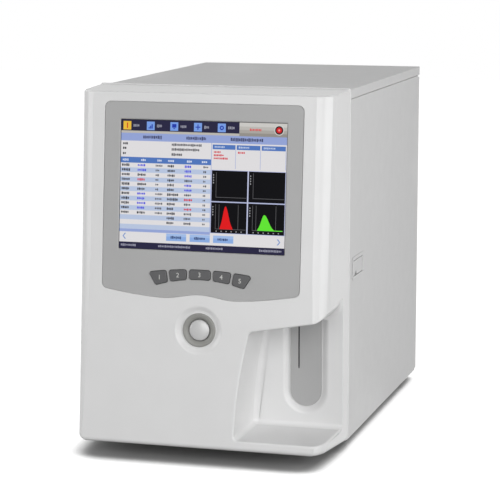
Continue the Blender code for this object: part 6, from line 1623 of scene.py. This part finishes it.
# Probe lift.
# A motor turns the screw, which lifts the carriage and its needle into the hood;
# the natural plastic block below washes the needle as it passes.

motor_black = skin(
    "motor_black", (0.030, 0.030, 0.033), 0.40, grain=2400, depth=0.02, soft=0.5 * MM, Metallic=0.4
)
lift_steel = bare_metal(
    "turned_steel", (0.60, 0.60, 0.60), 0.25,
    along=(30.0, 30.0, 2600.0), spangle=500.0, patchy=0.1, soft=0.1 * MM,
)
milled = bare_metal(
    "milled_aluminium", (0.66, 0.67, 0.68), 0.33,
    along=(900.0, 60.0, 60.0), spangle=300.0, patchy=0.15, soft=0.4 * MM,
)
natural_plastic = skin("natural_plastic", (0.66, 0.63, 0.54), 0.38, grain=1800, depth=0.03, soft=0.4 * MM)
finish_nodes(motor_black, "probe_motor", "syringe_motor_1", "syringe_motor_2")
finish_nodes(lift_steel, "probe_screw", "syringe_screw_1", "syringe_screw_2")
finish_nodes(milled, "probe_carriage", "syringe_frame", "syringe_plunger_1", "syringe_plunger_2")
finish_nodes(natural_plastic, "rinse_block")

# Fluid side.
# Clear baths and barrels, the optical block, the valve bank, the vacuum chamber, the pump
# and their tubes, on the side of the bulkhead that the door opens.

clear_acrylic = skin(
    "clear_acrylic", (0.86, 0.89, 0.90), 0.10, grain=700, depth=0.004, soft=0.3 * MM,
    Transmission_Weight=0.82, IOR=1.49,
)
finish_nodes(clear_acrylic, "bath_red", "bath_white", "syringe_barrel_1", "syringe_barrel_2")
valve_metal = bare_metal(
    "valve_block", (0.60, 0.61, 0.62), 0.40,
    along=(60.0, 60.0, 900.0), spangle=260.0, patchy=0.2, soft=0.4 * MM,
)
finish_nodes(valve_metal, "valve_bank", "optical_module")
chamber_plastic = skin("chamber_plastic", (0.60, 0.58, 0.50), 0.36, grain=1500, depth=0.03, soft=0.5 * MM)
chamber = turned_form("vacuum_bottle", mm(
    (0, 152), (18.4, 152), (20, 150.6), (20, 143.2), (19, 142.2), (16.6, 142), (16, 141.4), (16, 133.4),
    (16.8, 131.4), (19, 129.4), (28, 125.4), (33.4, 122), (35.4, 119), (36, 115.6), (36, 92.6), (35.2, 91.4),
    (35.2, 88.6), (36, 87.4), (36, 36.6), (35.2, 35.4), (35.2, 32.6), (36, 31.4), (36, 3), (35.2, 1),
    (33.4, 0), (0, 0),
), Matrix.Translation(mm((98, 163.5, 13.8))[0]), steps=96)
dress(smooth(chamber), chamber_plastic, "natural_plastic", "vacuum_chamber")
pump_black = skin("pump_black", (0.035, 0.035, 0.037), 0.46, grain=1900, depth=0.05, soft=0.5 * MM)
finish_nodes(pump_black, "liquid_pump")
silicone = skin("silicone", (0.70, 0.70, 0.66), 0.36, grain=1200, depth=0.02, Transmission_Weight=0.35)
finish_nodes(silicone, "drain_tube_white", "drain_tube_red")

# Rear connections.
# The mains inlet with its rocker, a row of data sockets and four hose nipples,
# each fixed in its own hole in the rear sheet.

socket_metal = bare_metal(
    "socket_metal", (0.56, 0.56, 0.57), 0.30,
    along=(900.0, 60.0, 60.0), spangle=300.0, patchy=0.1, soft=0.2 * MM,
)
finish_nodes(socket_metal, "data_ports")
nipple_plastic = skin("nipple_plastic", (0.62, 0.60, 0.53), 0.36, grain=2200, depth=0.02, soft=0.2 * MM)
finish_nodes(nipple_plastic, "fluid_ports")
inlet_black = skin("inlet_black", (0.024, 0.024, 0.026), 0.38, grain=2600, depth=0.03, soft=0.3 * MM)
finish_nodes(inlet_black, "power_inlet", "power_rocker")

# Bench and studio.
# A white seamless sweep; soft boxes in front, above and behind and a strip at each side give
# the flat, even light of a product photograph, and the sweep itself reads as pure white,
# with a painted contact shadow that darkens its glow close under the object.

floor_bm = bmesh.new()
bmesh.ops.create_grid(floor_bm, x_segments=1, y_segments=1, size=6)
sweep_white = new_finish(
    "seamless_white", Base_Color=(0.36, 0.36, 0.36, 1), Roughness=1.0,
    Specular_IOR_Level=0.0, Emission_Color=(1, 1, 1, 1),
)
floor = new_piece("floor", floor_bm, sweep_white)
# The rays by which the eye finds white: straight, mirrored and through clear pieces.
seen_kinds = {
    "seen LightPath": {},
    "either Math": {"operation": "ADD", "use_clamp": True},
    "any Math": {"operation": "ADD", "use_clamp": True},
}
seen_links = """
    seen.Is Camera Ray > either.0
    seen.Is Glossy Ray > either.1
    either.0 > any.0
    seen.Is Transmission Ray > any.1
"""
# Away from the object the sweep glows white; an occlusion mask, tilted to the back and right, dims that glow
# close under the object and so paints its contact shadow onto the sweep.
net(sweep_white.node_tree, {
    **seen_kinds,
    "open AmbientOcclusion": {"samples": 16, "Distance": 0.045},
    "leaning CombineXYZ": {0: 0.35, 1: 0.55, 2: 0.8},
    "clear MapRange": {"interpolation_type": "SMOOTHSTEP", 1: 0.42, 2: 0.85},
    "glow Math": {"operation": "MULTIPLY"},
}, seen_links + """
    leaning.0 > open.Normal
    open.AO > clear.Value
    clear.0 > glow.0
    any.0 > glow.1
    glow.0 > surface.Emission Strength
""")

world = bpy.data.worlds.new("studio")
bpy.context.scene.world = world
world.use_nodes = True
world.node_tree.nodes["Background"].inputs["Color"].default_value = (1, 1, 1, 1)
net(world.node_tree, {**seen_kinds, "room MapRange": {3: 0.18, 4: 1.0}}, seen_links + """
    any.0 > room.Value
    room.0 > surface.Strength
""")


LAMP_AIM = Vector((0, -0.1, 0.22))
LAMP_OUT = 2.9


def soft_light(name, turn, rise, size, power):
    """A soft box on a ring round the object: degrees to the right of the front, and up."""
    turn, rise = radians(turn), radians(rise)
    data = bpy.data.lights.new(name, "AREA")
    data.shape = "RECTANGLE"
    data.size, data.size_y = size
    data.energy = power
    lamp = placed(name, data)
    way = Vector((cos(rise) * sin(turn), -cos(rise) * cos(turn), sin(rise)))
    lamp.location = LAMP_AIM + way * LAMP_OUT
    lamp.rotation_euler = (-way).to_track_quat("-Z", "Y").to_euler()


soft_light("front_box", 17, 15, (3.0, 1.8), 50.0)
soft_light("brow_box", 5, 45, (1.6, 1.0), 3.0)
soft_light("left_strip", -72, 12, (1.3, 1.8), 26.0)
soft_light("right_strip", 76, 12, (2.0, 1.8), 38.0)
soft_light("rear_box", 242, 42, (2.2, 1.6), 13.0)

lens = bpy.data.cameras.new("photo_camera")
lens.lens = 145.79
lens.sensor_width = 36
camera = placed("photo_camera", lens)
camera.location = (0.7335, -2.597246, 0.6556)
camera.rotation_euler = (radians(80.89), 0, radians(16.06))
bpy.context.scene.camera = camera

bpy.context.scene.view_settings.view_transform = "Standard"
